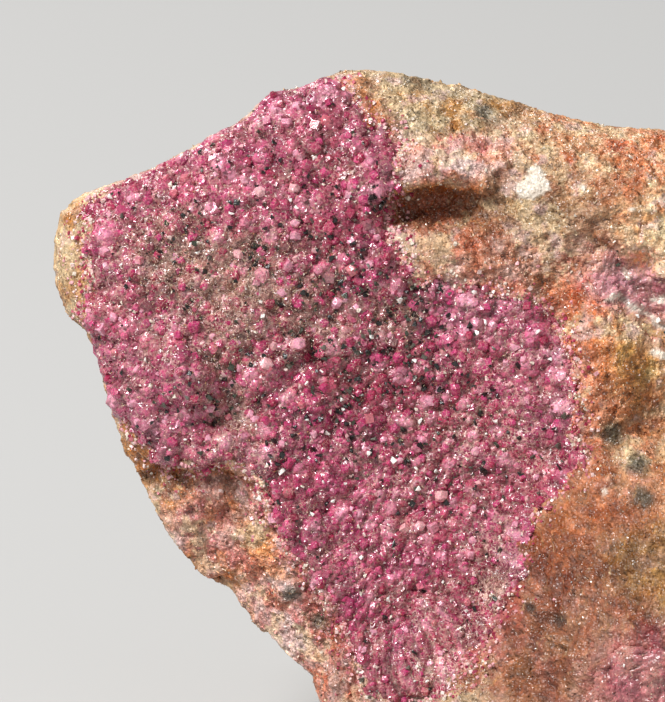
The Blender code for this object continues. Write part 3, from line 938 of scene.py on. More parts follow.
def body_colour(points):
    """Crimson that drifts to magenta and rose over the main crust."""
    drift = smooth_step(0.5 + 0.9 * rough_noise(points, 4.5, 3, 86))
    colour = blended(linear("crimson"), linear("magenta"), drift)
    rosy = smooth_step(0.2 + 1.2 * rough_noise(points, 2.4, 3, 88))[:, None]
    return colour + (linear("rose") - colour) * 0.35 * rosy


def druse_tint(points):
    """Colour of the main crust: pink lumps, some with pale tops painted as highlights, and dust and painted
    shade in their creases.
    """
    u, v = points[:, 0], points[:, 1]
    away, number, edge = lump_cells(u, v)
    ground = flat(u, v)
    colour = body_colour(ground) * (0.72 + 0.5 * number)[:, None]
    # Painted highlight: the middles of some lumps turn pale
    top = smooth_step((number - 0.58) / 0.2) * smooth_step((0.6 - away) / 0.3)
    pale = np.clip(amount(PALE, u, v), 0.0, 1.0)
    paleness = np.clip(0.55 * top + 0.45 * pale * (0.4 + number), 0.0, 0.9)
    colour = blended(colour, linear("lilac_pink"), paleness)
    dusty = np.clip(amount(DUSTY, u, v), 0.0, 1.0)
    crease = 1.0 - smooth_step(edge / 0.3)
    grit = rough_noise(ground, 0.7, 3, 77) + 0.8 * rough_noise(ground, 1.8, 3, 78)
    dusting = smooth_step((1.1 * dusty + 0.45 * crease + 0.7 * grit - 0.3) / 0.5) * (0.35 + 0.65 * dusty)
    dust = blended(linear("dust"), linear("olive_dust"), smooth_step(0.5 + 1.6 * grit))
    colour = blended(colour, dust, 0.85 * dusting)
    # Painted shade darkens the creases between the lumps
    return colour * (1.0 - 0.35 * crease)[:, None]


def threads(points):
    """How much pale thread lies over the druse, from 0 to 1."""
    there = 0.2 + amount(THREADED, points[:, 0], points[:, 1]) + 0.4 * rough_noise(points, 2.8, 3, 90)
    return np.clip(there, 0.0, 1.0)


def bed_grid(outline):
    """A grid over an outline: its places, whether each is inside, its quads, and the grid's ends."""
    u, v = np.array(outline).T
    us = np.arange(u.min() - 0.8, u.max() + 0.8, BED_STEP)
    vs = np.arange(v.min() - 0.8, v.max() + 0.8, BED_STEP)
    grid_u, grid_v = (g.ravel() for g in np.meshgrid(us, vs, indexing="ij"))
    grid_u = grid_u + 0.3 * BED_STEP * np.sin(12.9 * grid_v)
    columns = len(vs)
    rows = np.arange(len(us) - 1)
    i, j = (g.ravel() for g in np.meshgrid(rows, np.arange(columns - 1), indexing="ij"))
    first, second = i * columns + j, (i + 1) * columns + j
    quads = np.stack([first, second, second + 1, first + 1], axis=1)
    inside = in_crust(outline, grid_u, grid_v)
    angle, distance = from_centre(grid_u, grid_v)
    beyond = distance / outline_reach(angle)
    keep = (inside[quads].mean(axis=1) > -0.7) & (beyond[quads].max(axis=1) < BED_SHARE)
    used, quads = np.unique(quads[keep], return_inverse=True)
    return grid_u[used], grid_v[used], inside[used], quads.reshape(-1, 4), us[[0, -1]], vs[[0, -1]]


def bed_bumps(points, u, v):
    """Height in mm of a crust's lumps and domes, each dome's number and how near its crease is."""
    bumps = 0.9 * rough_noise(points, 5.5, 3, 69) + 0.3 * rough_noise(points, 2.2, 3, 70)
    rounded = LUMP_RISE * crystal_size(u, v) * (0.7 - lump_cells(u, v)[0] ** 2)
    bumps += 0.5 * chips(points, 3.2, 68)[0] + rounded
    for shape in CRUST_LUMPS:
        bumps += swelling(points[:, 0], points[:, 1], shape)
    bumps += calcite(u, v) - undercut(u, v)
    size = DOME_SIZE * crystal_size(u, v)
    facet, away, number, edge = chips(points / size[:, None], 1.0, 71)
    crease = 1.0 - smooth_step(edge / 0.2)
    bumps += size * (0.45 * (1.0 - away**2) + 0.35 * facet - 0.1 * crease) + 0.12 * chips(points, 0.45, 75)[0]
    return bumps, number, crease


def bed_colour(name, points, number, crease):
    """Colour of a crust's bed, with lines in the creases, dark maroon as painted shade and pale where threads
    lie, and thread amounts as its fourth value.
    """
    own = druse_tint(points) if name == "druse_main_bed" else whitened(zone_colour(points), points)
    # Painted shade: dark maroon lines in the creases, turning to pale thread where threads lie
    line = blended(linear("maroon"), linear("thread"), threads(points))
    colour = blended(own * (0.8 + 0.4 * number)[:, None], line, 0.6 * crease)
    colour = speckled(colour, points, 73, pale=0.25, dark=0.2)
    return np.concatenate([colour, threads(points)[:, None]], axis=1)


def bed(name, outline):
    """The crust under its crystals: a sheet laid on the rock face, that dips into it at its edge."""
    grid_u, grid_v, inside, quads, u_ends, v_ends = bed_grid(outline)
    u, v, share = held_in(grid_u, grid_v)
    lift = BED_LIFT - 1.1 * (1.0 - smooth_step((inside + 0.3) / 1.5))
    points = np.stack([u, v, front_surface(u, v, share)], axis=1)
    normals = normals_of(points, quads)
    bumps, number, crease = bed_bumps(points, u, v)
    tuck = tucked(share)
    points += normals * ((lift + bumps) * (1.0 - tuck) - 0.6 * tuck)[:, None]
    colour = bed_colour(name, points, number, crease)
    uv = np.stack([(u - u_ends[0]) / np.ptp(u_ends), (v - v_ends[0]) / np.ptp(v_ends)], axis=1) * 0.98 + 0.01
    return piece(name, points, quads, colour, uv), points, quads


def hull(points):
    """The convex solid round some points, as arrays."""
    shape = bmesh.new()
    for point in points:
        shape.verts.new(point)
    made = bmesh.ops.convex_hull(shape, input=shape.verts[:])
    loose = {v for v in made["geom_interior"] + made["geom_unused"] if isinstance(v, bmesh.types.BMVert)}
    bmesh.ops.delete(shape, geom=list(loose), context="VERTS")
    bmesh.ops.triangulate(shape, faces=shape.faces)
    bmesh.ops.recalc_face_normals(shape, faces=shape.faces)
    shape.verts.index_update()
    corners = np.array([v.co[:] for v in shape.verts])
    faces = np.array([[v.index for v in face.verts] for face in shape.faces])
    shape.free()
    return corners, faces


def ring(count, radius, height, turn=0.0, wobble=0.0):
    """Points round the axis; with a wobble every second one is higher."""
    turns = np.arange(count) * 2.0 * math.pi / count + turn
    heights = height + wobble * np.cos(np.arange(count) * math.pi)
    return [(radius * math.cos(t), radius * math.sin(t), h) for t, h in zip(turns, heights)]


def rhomb(stretch):
    """A rhombohedron standing on its point."""
    third = math.pi / 3.0
    return hull(
        [(0.0, 0.0, stretch), (0.0, 0.0, -stretch)]
        + ring(3, 0.94, stretch / 3.0)
        + ring(3, 0.94, -stretch / 3.0, third)
    )


def nailhead(height, cap):
    """A six-sided prism with a three-faced cap."""
    return hull(ring(6, 0.86, -0.8) + ring(6, 0.92, height, 0.0, 0.16) + [(0.05, 0.02, height + cap)])


def blunted(stretch):
    """A rhombohedron with its point and corners worn off."""
    third = math.pi / 3.0
    return hull(
        ring(3, 0.26, 0.84 * stretch, 0.2)
        + ring(6, 0.86, stretch * 0.30, 0.1, 0.1)
        + ring(6, 0.88, -stretch * 0.25, 0.3, 0.1)
        + ring(3, 0.3, -0.8 * stretch, third)
    )


def crumb(seed, count=9):
    """A small broken grain."""
    draw = np.random.default_rng(seed)
    points = draw.normal(size=(count, 3))
    points /= np.linalg.norm(points, axis=1, keepdims=True)
    return hull(points * draw.uniform(0.7, 1.1, (count, 1)))


def thinned(spots, gaps):
    """Numbers of the spots that are kept so that each has its gap to those kept before it."""
    cell = float(gaps.max())
    taken = {}
    kept = []
    for n, (spot, gap) in enumerate(zip(spots, gaps)):
        home = tuple(np.floor(spot / cell).astype(int))
        beside_it = (
            spot - spots[other]
            for i, j, k in itertools.product((-1, 0, 1), repeat=3)
            for other in taken.get((home[0] + i, home[1] + j, home[2] + k), ())
        )
        if not any(away @ away < gap * gap for away in beside_it):
            taken.setdefault(home, []).append(n)
            kept.append(n)
    return kept


def scattered(points, faces, count, spacing, density, seed, all_round=False):
    """Places on a surface, by default where it faces the front: positions and normals.

    They are spacing(u, v) mm apart and crowd where density(u, v) is high.
    """
    draw = np.random.default_rng(seed)
    smooth = normals_of(points, faces)
    if faces.shape[1] == 4:
        faces = np.concatenate([faces[:, [0, 1, 2]], faces[:, [0, 2, 3]]])
    a, b, c = (points[faces[:, k]] for k in range(3))
    area = np.linalg.norm(np.cross(b - a, c - a), axis=1)
    middle = (a + b + c) / 3.0
    turn, distance = from_centre(middle[:, 0], middle[:, 1])
    outward = smooth[faces].mean(axis=1)[:, 2] > FACING_LEAST
    outward &= distance < outline_reach(turn) - EDGE_KEPT_CLEAR
    outward |= all_round
    weight = area * outward * density(middle[:, 0], middle[:, 1])
    chosen = draw.choice(len(faces), size=count, p=weight / weight.sum())
    s, t = draw.random((2, count, 1))
    s, t = np.where(s + t > 1.0, 1.0 - s, s), np.where(s + t > 1.0, 1.0 - t, t)
    spots = a[chosen] + (b - a)[chosen] * s + (c - a)[chosen] * t
    kept = thinned(spots, spacing(spots[:, 0], spots[:, 1]))
    return spots[kept], smooth[faces[chosen, 0]][kept]


def grown_over(name, shapes, spots, normals, size, rim, tip, lean, squash, seed):
    """Many small solids joined in one piece.

    Each has a size in mm, leans off the surface by up to lean, is squashed across by up to squash and
    goes from the rim colour at its foot to the tip colour at its outer end.
    """
    draw = np.random.default_rng(seed)
    count = len(spots)
    aside = draw.normal(size=(count, 3))
    up = normals + lean * aside
    up /= np.linalg.norm(up, axis=1, keepdims=True)
    across = np.cross(up, draw.normal(size=(count, 3)))
    across /= np.linalg.norm(across, axis=1, keepdims=True)
    third = np.cross(up, across)
    turn = np.stack([across, third, up], axis=2)
    scale = size[:, None] * draw.uniform(1.0 - squash, 1.0, (count, 3))
    kind = draw.integers(0, len(shapes), count)
    side = math.ceil(math.sqrt(count))
    every_point, every_face, every_tint, every_uv = [], [], [], []
    start = 0
    for k, (corners, faces) in enumerate(shapes):
        mine = np.flatnonzero(kind == k)
        local = corners[None] * scale[mine][:, None, :]
        placed = np.einsum("nij,nkj->nki", turn[mine], local) + spots[mine][:, None, :]
        rise = np.clip((corners[:, 2] + 0.4) / 1.4, 0.0, 1.0)[None, :, None]
        shade = rim[mine][:, None, :] + (tip[mine] - rim[mine])[:, None, :] * smooth_step(1.5 * rise)
        cell = np.stack([mine % side, mine // side], axis=1)[:, None, :]
        patch = (cell + 0.5 + 0.36 * corners[None, :, :2]) / side
        offsets = start + np.arange(len(mine))[:, None, None] * len(corners)
        every_point.append(placed.reshape(-1, 3))
        every_face.append((faces[None] + offsets).reshape(-1, 3))
        every_tint.append(shade.reshape(-1, 3))
        every_uv.append(patch.reshape(-1, 2))
        start += len(mine) * len(corners)
    arrays = [np.concatenate(part) for part in (every_point, every_face, every_tint, every_uv)]
    colours = np.clip(arrays[2], 0.0, 1.0)
    if name.startswith("druse"):
        colours = np.concatenate([colours, threads(arrays[0])[:, None]], axis=1)
    return piece(name, arrays[0], arrays[1], colours, arrays[3], smooth=False)


def picked(draw, count, shares):
    """A colour for each of count crystals, drawn from named colours by their shares."""
    names = list(shares)
    odds = np.array([shares[name] for name in names])
    colours = np.array([linear(name) for name in names])
    return colours[draw.choice(len(names), size=count, p=odds / odds.sum())]


def crystal_tints(spots, seed, shares, odd_share):
    """Rim and tip colours of druse crystals: the crust's own, and for a few a drawn colour, with painted
    shade making each crystal darker at its foot.
    """
    draw = np.random.default_rng(seed)
    count = len(spots)
    if shares:
        odd = draw.random((count, 1)) < odd_share
        tip = np.where(odd, picked(draw, count, shares), druse_tint(spots))
    else:
        tip = whitened(zone_colour(spots), spots)
    tip = tip * draw.uniform(0.85, 1.2, (count, 1))
    # Painted shade: each crystal is darker at its foot than at its tip
    rim = tip * draw.uniform(0.7, 1.0, (count, 1))
    return rim, tip


def even(u, v):
    """The same density everywhere."""
    return np.ones(np.shape(u))


def apart(gap):
    """The same spacing everywhere."""
    return lambda u, v: np.full(np.shape(u), gap)


def crystal_size(u, v):
    """Size of the crystals as a share of full size, smaller in the fine grained places."""
    return 1.0 - 0.55 * np.clip(amount(FINE, u, v), 0.0, 0.8)


def clumps(u, v):
    """1 in clumps of a few millimetres and 0 between them."""
    return smooth_step(0.35 + 1.3 * rough_noise(flat(u, v), 2.6, 3, 92))


def standing_at(points, faces, spots):
    """The nearest places on a surface to some u, v, with their normals and sizes."""
    wanted = np.array(spots)[:, :2]
    away = ((points[None, :, :2] - wanted[:, None, :]) ** 2).sum(axis=2)
    nearest = away.argmin(axis=1)
    places = points[nearest]
    places[:, :2] = wanted
    return places, normals_of(points, faces)[nearest], np.array(spots)[:, 2]


def drawn_grains(name, shapes, places, shades, seed, lift, least, span, power, lean, squash):
    """Grains of drawn sizes and colours at some places, joined in one piece."""
    spots, normals = places
    draw = np.random.default_rng(seed)
    size = least + span * draw.random(len(spots)) ** power
    body = picked(draw, len(spots), shades)
    spots = spots + normals * lift
    return grown_over(name, shapes, spots, normals, size, body, body, lean, squash, seed + 1)


def less_threaded(u, v):
    """Density that is lower where pale threads lie over the druse."""
    return 1.1 - 0.8 * np.clip(amount(THREADED, u, v), 0.0, 1.0)


def in_dark_clusters(u, v):
    """Density of the dark grains, which sit in the creases where they crowd."""
    in_crease = lump_cells(u, v)[2] < 0.35
    return 0.02 + amount(DARK_CLUSTERS, u, v) ** 1.4 * clumps(u, v) * in_crease


def dustier(u, v):
    """Density that is higher where the druse is dusty."""
    return 0.15 + np.clip(amount(DUSTY, u, v), 0.0, 1.0)


def large_shapes():
    """The shapes of the larger crystals."""
    return [blunted(1.0), blunted(0.8), nailhead(0.2, 0.35), nailhead(0.35, 0.3), rhomb(0.9)]


def crumbs():
    """The shapes of the dark, pale and white grains."""
    return [crumb(k) for k in range(5)]


def fine_crystals(name, sheet, count, shares):
    spots, normals = scattered(*sheet, count, lambda u, v: 0.58 * crystal_size(u, v), less_threaded, 1)
    draw = np.random.default_rng(2)
    spots = spots - normals * 0.08
    size = draw.uniform(0.26, 0.5, len(spots)) * crystal_size(spots[:, 0], spots[:, 1])
    rim, tip = crystal_tints(spots, 3, shares, 0.1)
    shapes = [rhomb(1.0), rhomb(0.75), rhomb(1.25)]
    return grown_over(name + "_fine", shapes, spots, normals, size, rim, tip, lean=0.45, squash=0.3, seed=4)


def large_crystals(name, sheet, count, shares):
    spots, normals = scattered(*sheet, count, lambda u, v: 1.3 * crystal_size(u, v), even, 5)
    draw = np.random.default_rng(6)
    size = 0.65 + 0.5 * draw.random(len(spots)) ** 2.0
    spots = spots - normals * 0.25
    size *= crystal_size(spots[:, 0], spots[:, 1])
    rim, tip = crystal_tints(spots, 7, shares, 0.25)
    return grown_over(
        name + "_large", large_shapes(), spots, normals, size, rim, tip, lean=0.35, squash=0.35, seed=8
    )


def dark_grains(name, sheet, count):
    places = scattered(*sheet, count, apart(0.5), in_dark_clusters, 9)
    shades = {"near_black": 3.0, "dark_green": 1.2, "slate": 0.4}
    return drawn_grains(
        name + "_dark", crumbs(), places, shades,
        seed=10, lift=0.35, least=0.24, span=0.42, power=1.6, lean=0.8, squash=0.4,
    )


def pale_grains(name, sheet, count):
    places = scattered(*sheet, count, apart(1.4), even, 12)
    # Grains in the glint white are painted glints, and the others are pale grains in their own colours
    shades = {"milky": 3.0, "pink_white": 2.0, "pale_pink": 1.0, "glint_white": 2.0}
    return drawn_grains(
        name + "_pale", crumbs(), places, shades,
        seed=13, lift=0.3, least=0.20, span=0.34, power=2.0, lean=0.5, squash=0.4,
    )


def dust_grains(name, sheet, count):
    spots, normals = scattered(*sheet, count, apart(0.14), dustier, 15)
    draw = np.random.default_rng(16)
    spots = spots + normals * draw.uniform(0.15, 0.6, (len(spots), 1))
    size = draw.uniform(0.06, 0.15, len(spots))
    shades = {"cream": 2.4, "dust": 2.0, "olive_dust": 1.0, "golden": 0.5, "pink_white": 2.6, "milky": 1.0}
    body = picked(draw, len(spots), shades)
    # The pale needles are partly painted highlights standing for thin lines of glint
    grains = [crumb(20, 6), crumb(21, 6), hull(SPLINTER)]
    return grown_over(
        name + "_dust", grains, spots, normals, size, body, body, lean=1.0, squash=0.4, seed=17
    )


def clear_crystals(name, sheet):
    spots, normals = scattered(*sheet, CLEAR_COUNT, apart(2.3), even, 21)
    draw = np.random.default_rng(22)
    size = draw.uniform(0.65, 1.05, len(spots)) * crystal_size(spots[:, 0], spots[:, 1])
    tip = picked(draw, len(spots), {"magenta": 3.0, "crimson": 2.0, "lilac_pink": 1.2, "rose": 1.0})
    rim = picked(draw, len(spots), {"magenta": 1.0, "crimson": 2.0})
    spots = spots + 0.1 * normals
    return grown_over(
        name + "_clear", large_shapes(), spots, normals, size, rim, tip, lean=0.3, squash=0.3, seed=23
    )


def single_crystals(name, sheet):
    """The pink crystals, with pale tips as painted highlights, and the white grains, painted glints, that
    stand at places of their own.
    """
    spots, normals, size = standing_at(*sheet, PINK_CRYSTALS)
    draw = np.random.default_rng(18)
    # Painted highlight: the pink crystals are paler at their tips than at their rims
    tip = picked(draw, len(spots), {"pale_pink": 3.0, "lilac_pink": 2.0, "rose": 1.0})
    rim = picked(draw, len(spots), {"lilac_pink": 1.0, "rose": 2.0})
    spots = spots + 0.2 * normals
    pink = grown_over(
        name + "_pink", large_shapes(), spots, normals, size, rim, tip, lean=0.25, squash=0.3, seed=19
    )
    # White grains as painted glints
    spots, normals, size = standing_at(*sheet, PAINTED_GLINTS)
    body = picked(draw, len(spots), {"glint_white": 1.0})
    spots = spots + 0.5 * normals
    white = grown_over(
        name + "_white", crumbs(), spots, normals, size, body, body, lean=0.3, squash=0.5, seed=20
    )
    return [pink, white]


def crystals_on(name, points, faces, share):
    """All that grows on one crust, with clear and single crystals on the main one only."""
    shares = CRYSTAL_COLOURS.get(name)
    few = 1.0 if shares else SMALL_CRUST_SHARE
    sheet = (points, faces)
    made = [
        fine_crystals(name, sheet, int(FINE_COUNT * share * few), shares),
        large_crystals(name, sheet, int(LARGE_COUNT * share * few), shares),
        dark_grains(name, sheet, int(DARK_COUNT * share * bool(shares)) + 4),
        pale_grains(name, sheet, int(PALE_COUNT * share * few)),
        dust_grains(name, sheet, int(DUST_COUNT * share * few)),
    ]
    if name == "druse_main":
        made += [clear_crystals(name, sheet), *single_crystals(name, sheet)]
    return made


def side_grains(points, faces):
    """Sugary grains over the back and the sides of the rock."""
    spots, normals = scattered(points, faces, SIDE_GRAIN_COUNT, apart(0.35), even, 60, all_round=True)
    draw = np.random.default_rng(61)
    size = 0.14 + 0.34 * draw.random(len(spots)) ** 2.0
    tint = rock_tint(spots, normals) * draw.uniform(0.45, 1.7, (len(spots), 1))
    white = picked(draw, len(spots), {"milky": 1.0, "cream": 2.0, "tan": 1.0})
    pale = draw.random(len(spots)) < 0.12
    tint = np.clip(blended(tint, white, 0.75 * pale), 0.0, 1.0)
    grains = [crumb(62 + k, 6) for k in range(4)]
    return grown_over(
        "matrix_side_grains", grains, spots, normals, size, tint, tint, lean=0.7, squash=0.4, seed=63
    )


def on_bare_rock(u, v):
    """Density of the sugary grains: none on the crusts and the calcite, few by the shoulder."""
    clear = (near_crusts(u, v) > -0.3) * (v > GRAINS_ABOVE_V) * (u < GRAINS_LEFT_OF_U)
    return clear * (calcite(u, v) < 0.2) * (1.0 - 0.85 * by_the_shoulder(u, v))


def on_fringe(u, v):
    """Density of the pink crystals beside the main crust and along the outer rim."""
    gap = -within(CRUSTS["druse_main"], u, v)
    angle, distance = from_centre(u, v)
    outer = distance / outline_reach(angle) > 0.97
    there = np.exp(-np.maximum(gap, 0.0) / 0.8) * (1.0 - 0.7 * by_the_shoulder(u, v))
    return ((gap > -0.6) | outer) * there * (v > GRAINS_ABOVE_V) * (u < GRAINS_LEFT_OF_U)


def face_grains(points, faces):
    """Sugary grains over the bare face, and white calcite grains at places of their own."""
    spots, normals = scattered(points, faces, FACE_GRAIN_COUNT, apart(0.22), on_bare_rock, 30)
    draw = np.random.default_rng(31)
    size = 0.10 + 0.22 * draw.random(len(spots)) ** 1.6
    tint = rock_tint(spots, normals) * draw.uniform(0.45, 1.8, (len(spots), 1))
    white = picked(draw, len(spots), {"milky": 2.0, "cream": 1.5, "pink_white": 1.0})
    on_boulder = 0.97 * smooth_step((-14.0 - spots[:, 1]) / 6.0) * smooth_step((spots[:, 0] - 16.0) / 6.0)
    # The pale grains are white sugar that also stands in for glints, as painted highlights, and are fewer on
    # the boulder
    pale = draw.random(len(spots)) < 0.17 * (1.0 - on_boulder)
    tint = blended(whitened(tint, spots), white, 0.75 * pale)
    dark = draw.random((len(spots), 1)) < 0.02
    tint = np.clip(np.where(dark, linear("black_brown"), tint), 0.0, 1.0)
    grains = [crumb(40 + k, 6) for k in range(4)]
    sugar = grown_over(
        "matrix_grains", grains, spots, normals, size, tint, tint, lean=0.7, squash=0.4, seed=32
    )

    spots, normals, size = standing_at(points, faces, CALCITE_GRAINS)
    body = picked(draw, len(spots), {"milky": 1.0})
    grains = [crumb(50, 14), crumb(51, 14), crumb(52, 16)]
    spots = spots + normals * 0.1 * size[:, None]
    white_grains = grown_over(
        "matrix_calcite", grains, spots, normals, size, body, body, lean=0.4, squash=0.5, seed=36
    )
    return [sugar, white_grains]


def fringe_crystals(points, faces):
    """Pink crystals that thin out away from the main crust."""
    places = scattered(points, faces, FRINGE_COUNT, apart(0.3), on_fringe, 33)
    shades = {"crimson": 1.2, "rose": 2.4, "pale_pink": 2.4, "pink_white": 2.2, "milky": 0.8}
    shapes = [rhomb(0.9), rhomb(1.15)]
    return drawn_grains(
        "matrix_fringe", shapes, places, shades,
        seed=34, lift=0.0, least=0.16, span=0.30, power=1.5, lean=0.5, squash=0.3,
    )


# Materials


def shader_nodes(name):
    """A new material with its node tools, its shader, its place and its vertex colour."""
    material = bpy.data.materials.new(name)
    material.use_nodes = True
    nodes, links = material.node_tree.nodes, material.node_tree.links
    shader = nodes["Principled BSDF"]
    place = nodes.new("ShaderNodeTexCoord").outputs["Object"]
    tint = nodes.new("ShaderNodeAttribute")
    tint.attribute_name = "tint"
    return material, nodes, links, shader, place, tint


def noise_node(nodes, links, place, features_per_mm, detail=4.0, roughness=0.6):
    texture = nodes.new("ShaderNodeTexNoise")
    texture.inputs["Scale"].default_value = features_per_mm / MM
    texture.inputs["Detail"].default_value = detail
    texture.inputs["Roughness"].default_value = roughness
    links.new(place, texture.inputs["Vector"])
    return texture.outputs["Fac"]


def mapped(nodes, links, value, low, high, to_low, to_high):
    ramp = nodes.new("ShaderNodeMapRange")
    ramp.inputs["From Min"].default_value = low
    ramp.inputs["From Max"].default_value = high
    ramp.inputs["To Min"].default_value = to_low
    ramp.inputs["To Max"].default_value = to_high
    links.new(value, ramp.inputs["Value"])
    return ramp.outputs["Result"]


def scaled(nodes, links, colour, value):
    """A colour made lighter or darker by a value."""
    mix = nodes.new("ShaderNodeVectorMath")
    mix.operation = "SCALE"
    links.new(colour, mix.inputs[0])
    links.new(value, mix.inputs["Scale"])
    return mix.outputs["Vector"]


def bumped(nodes, links, shader, height, distance, strength):
    bump = nodes.new("ShaderNodeBump")
    bump.inputs["Strength"].default_value = strength
    bump.inputs["Distance"].default_value = distance * MM
    links.new(height, bump.inputs["Height"])
    links.new(bump.outputs["Normal"], shader.inputs["Normal"])


def mixed(nodes, links, colour, over, amount_of_over):
    """A colour with another laid over it by an amount from 0 to 1."""
    mix = nodes.new("ShaderNodeMix")
    mix.data_type = "RGBA"
    links.new(amount_of_over, mix.inputs["Factor"])
    links.new(colour, mix.inputs["A"])
    mix.inputs["B"].default_value = (*over, 1.0)
    return mix.outputs["Result"]


def thread_pattern(nodes, links, place, cells_per_mm, width):
    """Fine crooked lines round small cells, broken up, as a value from 0 to 1."""
    bend = nodes.new("ShaderNodeTexNoise")
    bend.inputs["Scale"].default_value = 2.2 * cells_per_mm / MM
    links.new(place, bend.inputs["Vector"])
    shift = nodes.new("ShaderNodeVectorMath")
    shift.operation = "MULTIPLY_ADD"
    links.new(bend.outputs["Color"], shift.inputs[0])
    shift.inputs[1].default_value = (0.5 * MM / cells_per_mm,) * 3
    links.new(place, shift.inputs[2])
    cells = nodes.new("ShaderNodeTexVoronoi")
    cells.feature = "DISTANCE_TO_EDGE"
    cells.inputs["Scale"].default_value = cells_per_mm / MM
    links.new(shift.outputs["Vector"], cells.inputs["Vector"])
    line = mapped(nodes, links, cells.outputs["Distance"], 0.4 * width, width, 1.0, 0.0)
    broken = mapped(nodes, links, noise_node(nodes, links, place, 1.3 * cells_per_mm), 0.42, 0.58, 0.1, 1.0)
    return product(nodes, links, line, broken)


def product(nodes, links, a, b):
    times = nodes.new("ShaderNodeMath")
    times.operation = "MULTIPLY"
    links.new(a, times.inputs[0])
    links.new(b, times.inputs[1])
    return times.outputs["Value"]


def stone_material(
    name, grain_per_mm, bump_mm, rough, glint, translucence, specks, speck_colour, threaded=False
):
    """A mineral surface: its tint with mottling and specks, grain in relief and glints."""
    material, nodes, links, shader, place, tint = shader_nodes(name)
    fine = noise_node(nodes, links, place, grain_per_mm, 5.0, 0.7)
    colour = scaled(nodes, links, tint.outputs["Color"], mapped(nodes, links, fine, 0.3, 0.7, 0.55, 1.45))
    if threaded:
        lines = thread_pattern(nodes, links, place, 2.0, 0.12)
        lines = product(nodes, links, lines, tint.outputs["Alpha"])
        colour = mixed(nodes, links, colour, linear("thread"), lines)
    coarse = noise_node(nodes, links, place, grain_per_mm * 1.4, 4.0, 0.75)
    speck = mapped(nodes, links, coarse, 0.56, 0.68, 0.0, specks)
    if not threaded:
        speck = product(nodes, links, speck, tint.outputs["Alpha"])
    colour = mixed(nodes, links, colour, linear(speck_colour), speck)
    links.new(colour, shader.inputs["Base Color"])
    cells = nodes.new("ShaderNodeTexVoronoi")
    cells.inputs["Scale"].default_value = grain_per_mm / MM
    links.new(place, cells.inputs["Vector"])
    split = nodes.new("ShaderNodeSeparateColor")
    links.new(cells.outputs["Color"], split.inputs["Color"])
    links.new(mapped(nodes, links, split.outputs["Red"], 0.0, 1.0, glint, rough), shader.inputs["Roughness"])
    bumped(nodes, links, shader, cells.outputs["Distance"], bump_mm, 0.8)
    shader.inputs["IOR"].default_value = MINERAL_IOR
    shader.inputs["Subsurface Weight"].default_value = translucence
    shader.inputs["Subsurface Scale"].default_value = SCATTER_MM * MM
    shader.inputs["Subsurface Radius"].default_value = SCATTER_BY_COLOUR
    return material


def dress(obj, material, node):
    """Gives a piece its material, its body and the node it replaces."""
    obj.data.materials.append(material)
    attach(obj, "root")
    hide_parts(node)


# Stage


def plain_material(name, colour, rough):
    material = bpy.data.materials.new(name)
    material.use_nodes = True
    shader = material.node_tree.nodes["Principled BSDF"]
    shader.inputs["Base Color"].default_value = (*colour, 1.0)
    shader.inputs["Roughness"].default_value = rough
    return material


def floor():
    bpy.ops.mesh.primitive_grid_add(x_subdivisions=8, y_subdivisions=8, size=8.0, location=(0.0, 0.0, 0.0))
    ground = bpy.context.object
    ground.name = "floor"
    ground.data.materials.append(plain_material("pale paper", FLOOR_COLOUR, 0.9))


def soft_light(name, towards, power, size):
    """A white area light seen from the object in the given direction."""
    data = bpy.data.lights.new(name, "AREA")
    data.energy = power
    data.size = size
    lamp = bpy.data.objects.new(name, data)
    bpy.context.scene.collection.objects.link(lamp)
    direction = Vector(towards).normalized()
    lamp.location = Vector(LIT_MIDDLE) + direction * LIGHT_DISTANCE
    lamp.rotation_euler = direction.to_track_quat("Z", "Y").to_euler()


def camera():
    data = bpy.data.cameras.new("camera")
    data.sensor_width = SENSOR
    data.lens = SENSOR * VIEW_DISTANCE / FRAME_HEIGHT
    data.clip_start = 0.01
    data.clip_end = 20.0
    eye = bpy.data.objects.new("camera", data)
    bpy.context.scene.collection.objects.link(eye)
    eye.matrix_world = (
        Matrix.Translation(FACE_TO_WORLD @ Vector((0.0, 0.0, VIEW_DISTANCE)))
        @ Matrix.Rotation(math.pi / 2.0 - FACE_LEAN, 4, "X")
    )
    bpy.context.scene.camera = eye


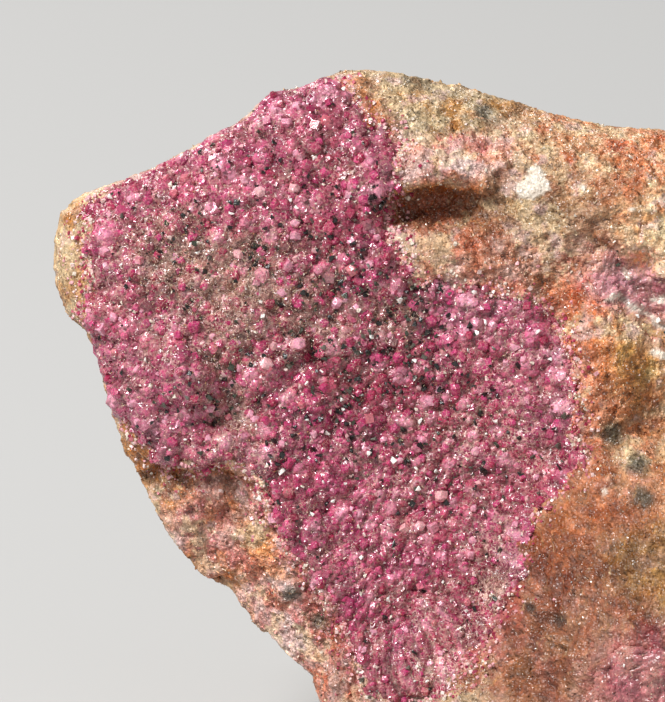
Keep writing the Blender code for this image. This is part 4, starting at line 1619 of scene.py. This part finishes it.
def studio():
    """Plain white light from all round, the floor, three soft lights and the camera."""
    scene = bpy.context.scene
    scene.view_settings.view_transform = "Standard"
    world = bpy.data.worlds.new("studio")
    world.use_nodes = True
    world.node_tree.nodes["Background"].inputs["Color"].default_value = (1.0, 1.0, 1.0, 1.0)
    world.node_tree.nodes["Background"].inputs["Strength"].default_value = AMBIENT
    scene.world = world
    floor()
    soft_light("key", (-0.6, -0.5, 0.8), KEY_POWER, KEY_SIZE)
    soft_light("fill", (0.9, -1.2, 0.35), FILL_POWER, FILL_SIZE)
    soft_light("rim", (-0.5, 0.7, 0.8), RIM_POWER, RIM_SIZE)
    camera()


def matrix():
    """The rock, with all the grains on it."""
    # The rock's cream specks are partly pale sugar and partly painted glints
    stone = stone_material(
        "matrix rock", grain_per_mm=2.6, bump_mm=0.22, rough=0.7, glint=0.2,
        translucence=0.0, specks=0.6, speck_colour="cream",
    )
    sugar = stone_material(
        "matrix grains", grain_per_mm=4.0, bump_mm=0.03, rough=0.45, glint=0.08,
        translucence=0.0, specks=0.35, speck_colour="cream",
    )
    obj, points, front, sides = rock()
    dress(obj, stone, "matrix")
    grains = [*face_grains(points, front), fringe_crystals(points, front), side_grains(points, sides)]
    for made in grains:
        dress(made, sugar, "matrix")


def crusts():
    """The beds of the three crusts, with all that grows on them."""
    ground = stone_material(
        "druse ground", grain_per_mm=3.0, bump_mm=0.08, rough=0.4, glint=0.08,
        translucence=0.15, specks=0.25, speck_colour="pink_white", threaded=True,
    )
    crystal = stone_material(
        "druse crystal", grain_per_mm=3.5, bump_mm=0.05, rough=0.26, glint=0.05,
        translucence=0.2, specks=0.25, speck_colour="pink_white", threaded=True,
    )
    dust = stone_material(
        "dust", grain_per_mm=6.0, bump_mm=0.02, rough=0.5, glint=0.2,
        translucence=0.0, specks=0.3, speck_colour="milky",
    )
    grain = stone_material(
        "dark grain", grain_per_mm=6.0, bump_mm=0.03, rough=0.5, glint=0.15,
        translucence=0.0, specks=0.25, speck_colour="grey_green",
    )
    finishes = {"_dark": grain, "_dust": dust}
    for name, outline in CRUSTS.items():
        sheet, points, faces = bed(name + "_bed", outline)
        dress(sheet, ground, name)
        area = np.ptp(points[:, 0]) * np.ptp(points[:, 1])
        for made in crystals_on(name, points, faces, min(1.0, area / FULL_CRUST_AREA)):
            dress(made, finishes.get(made.name[-5:], crystal), name)


matrix()
crusts()
studio()
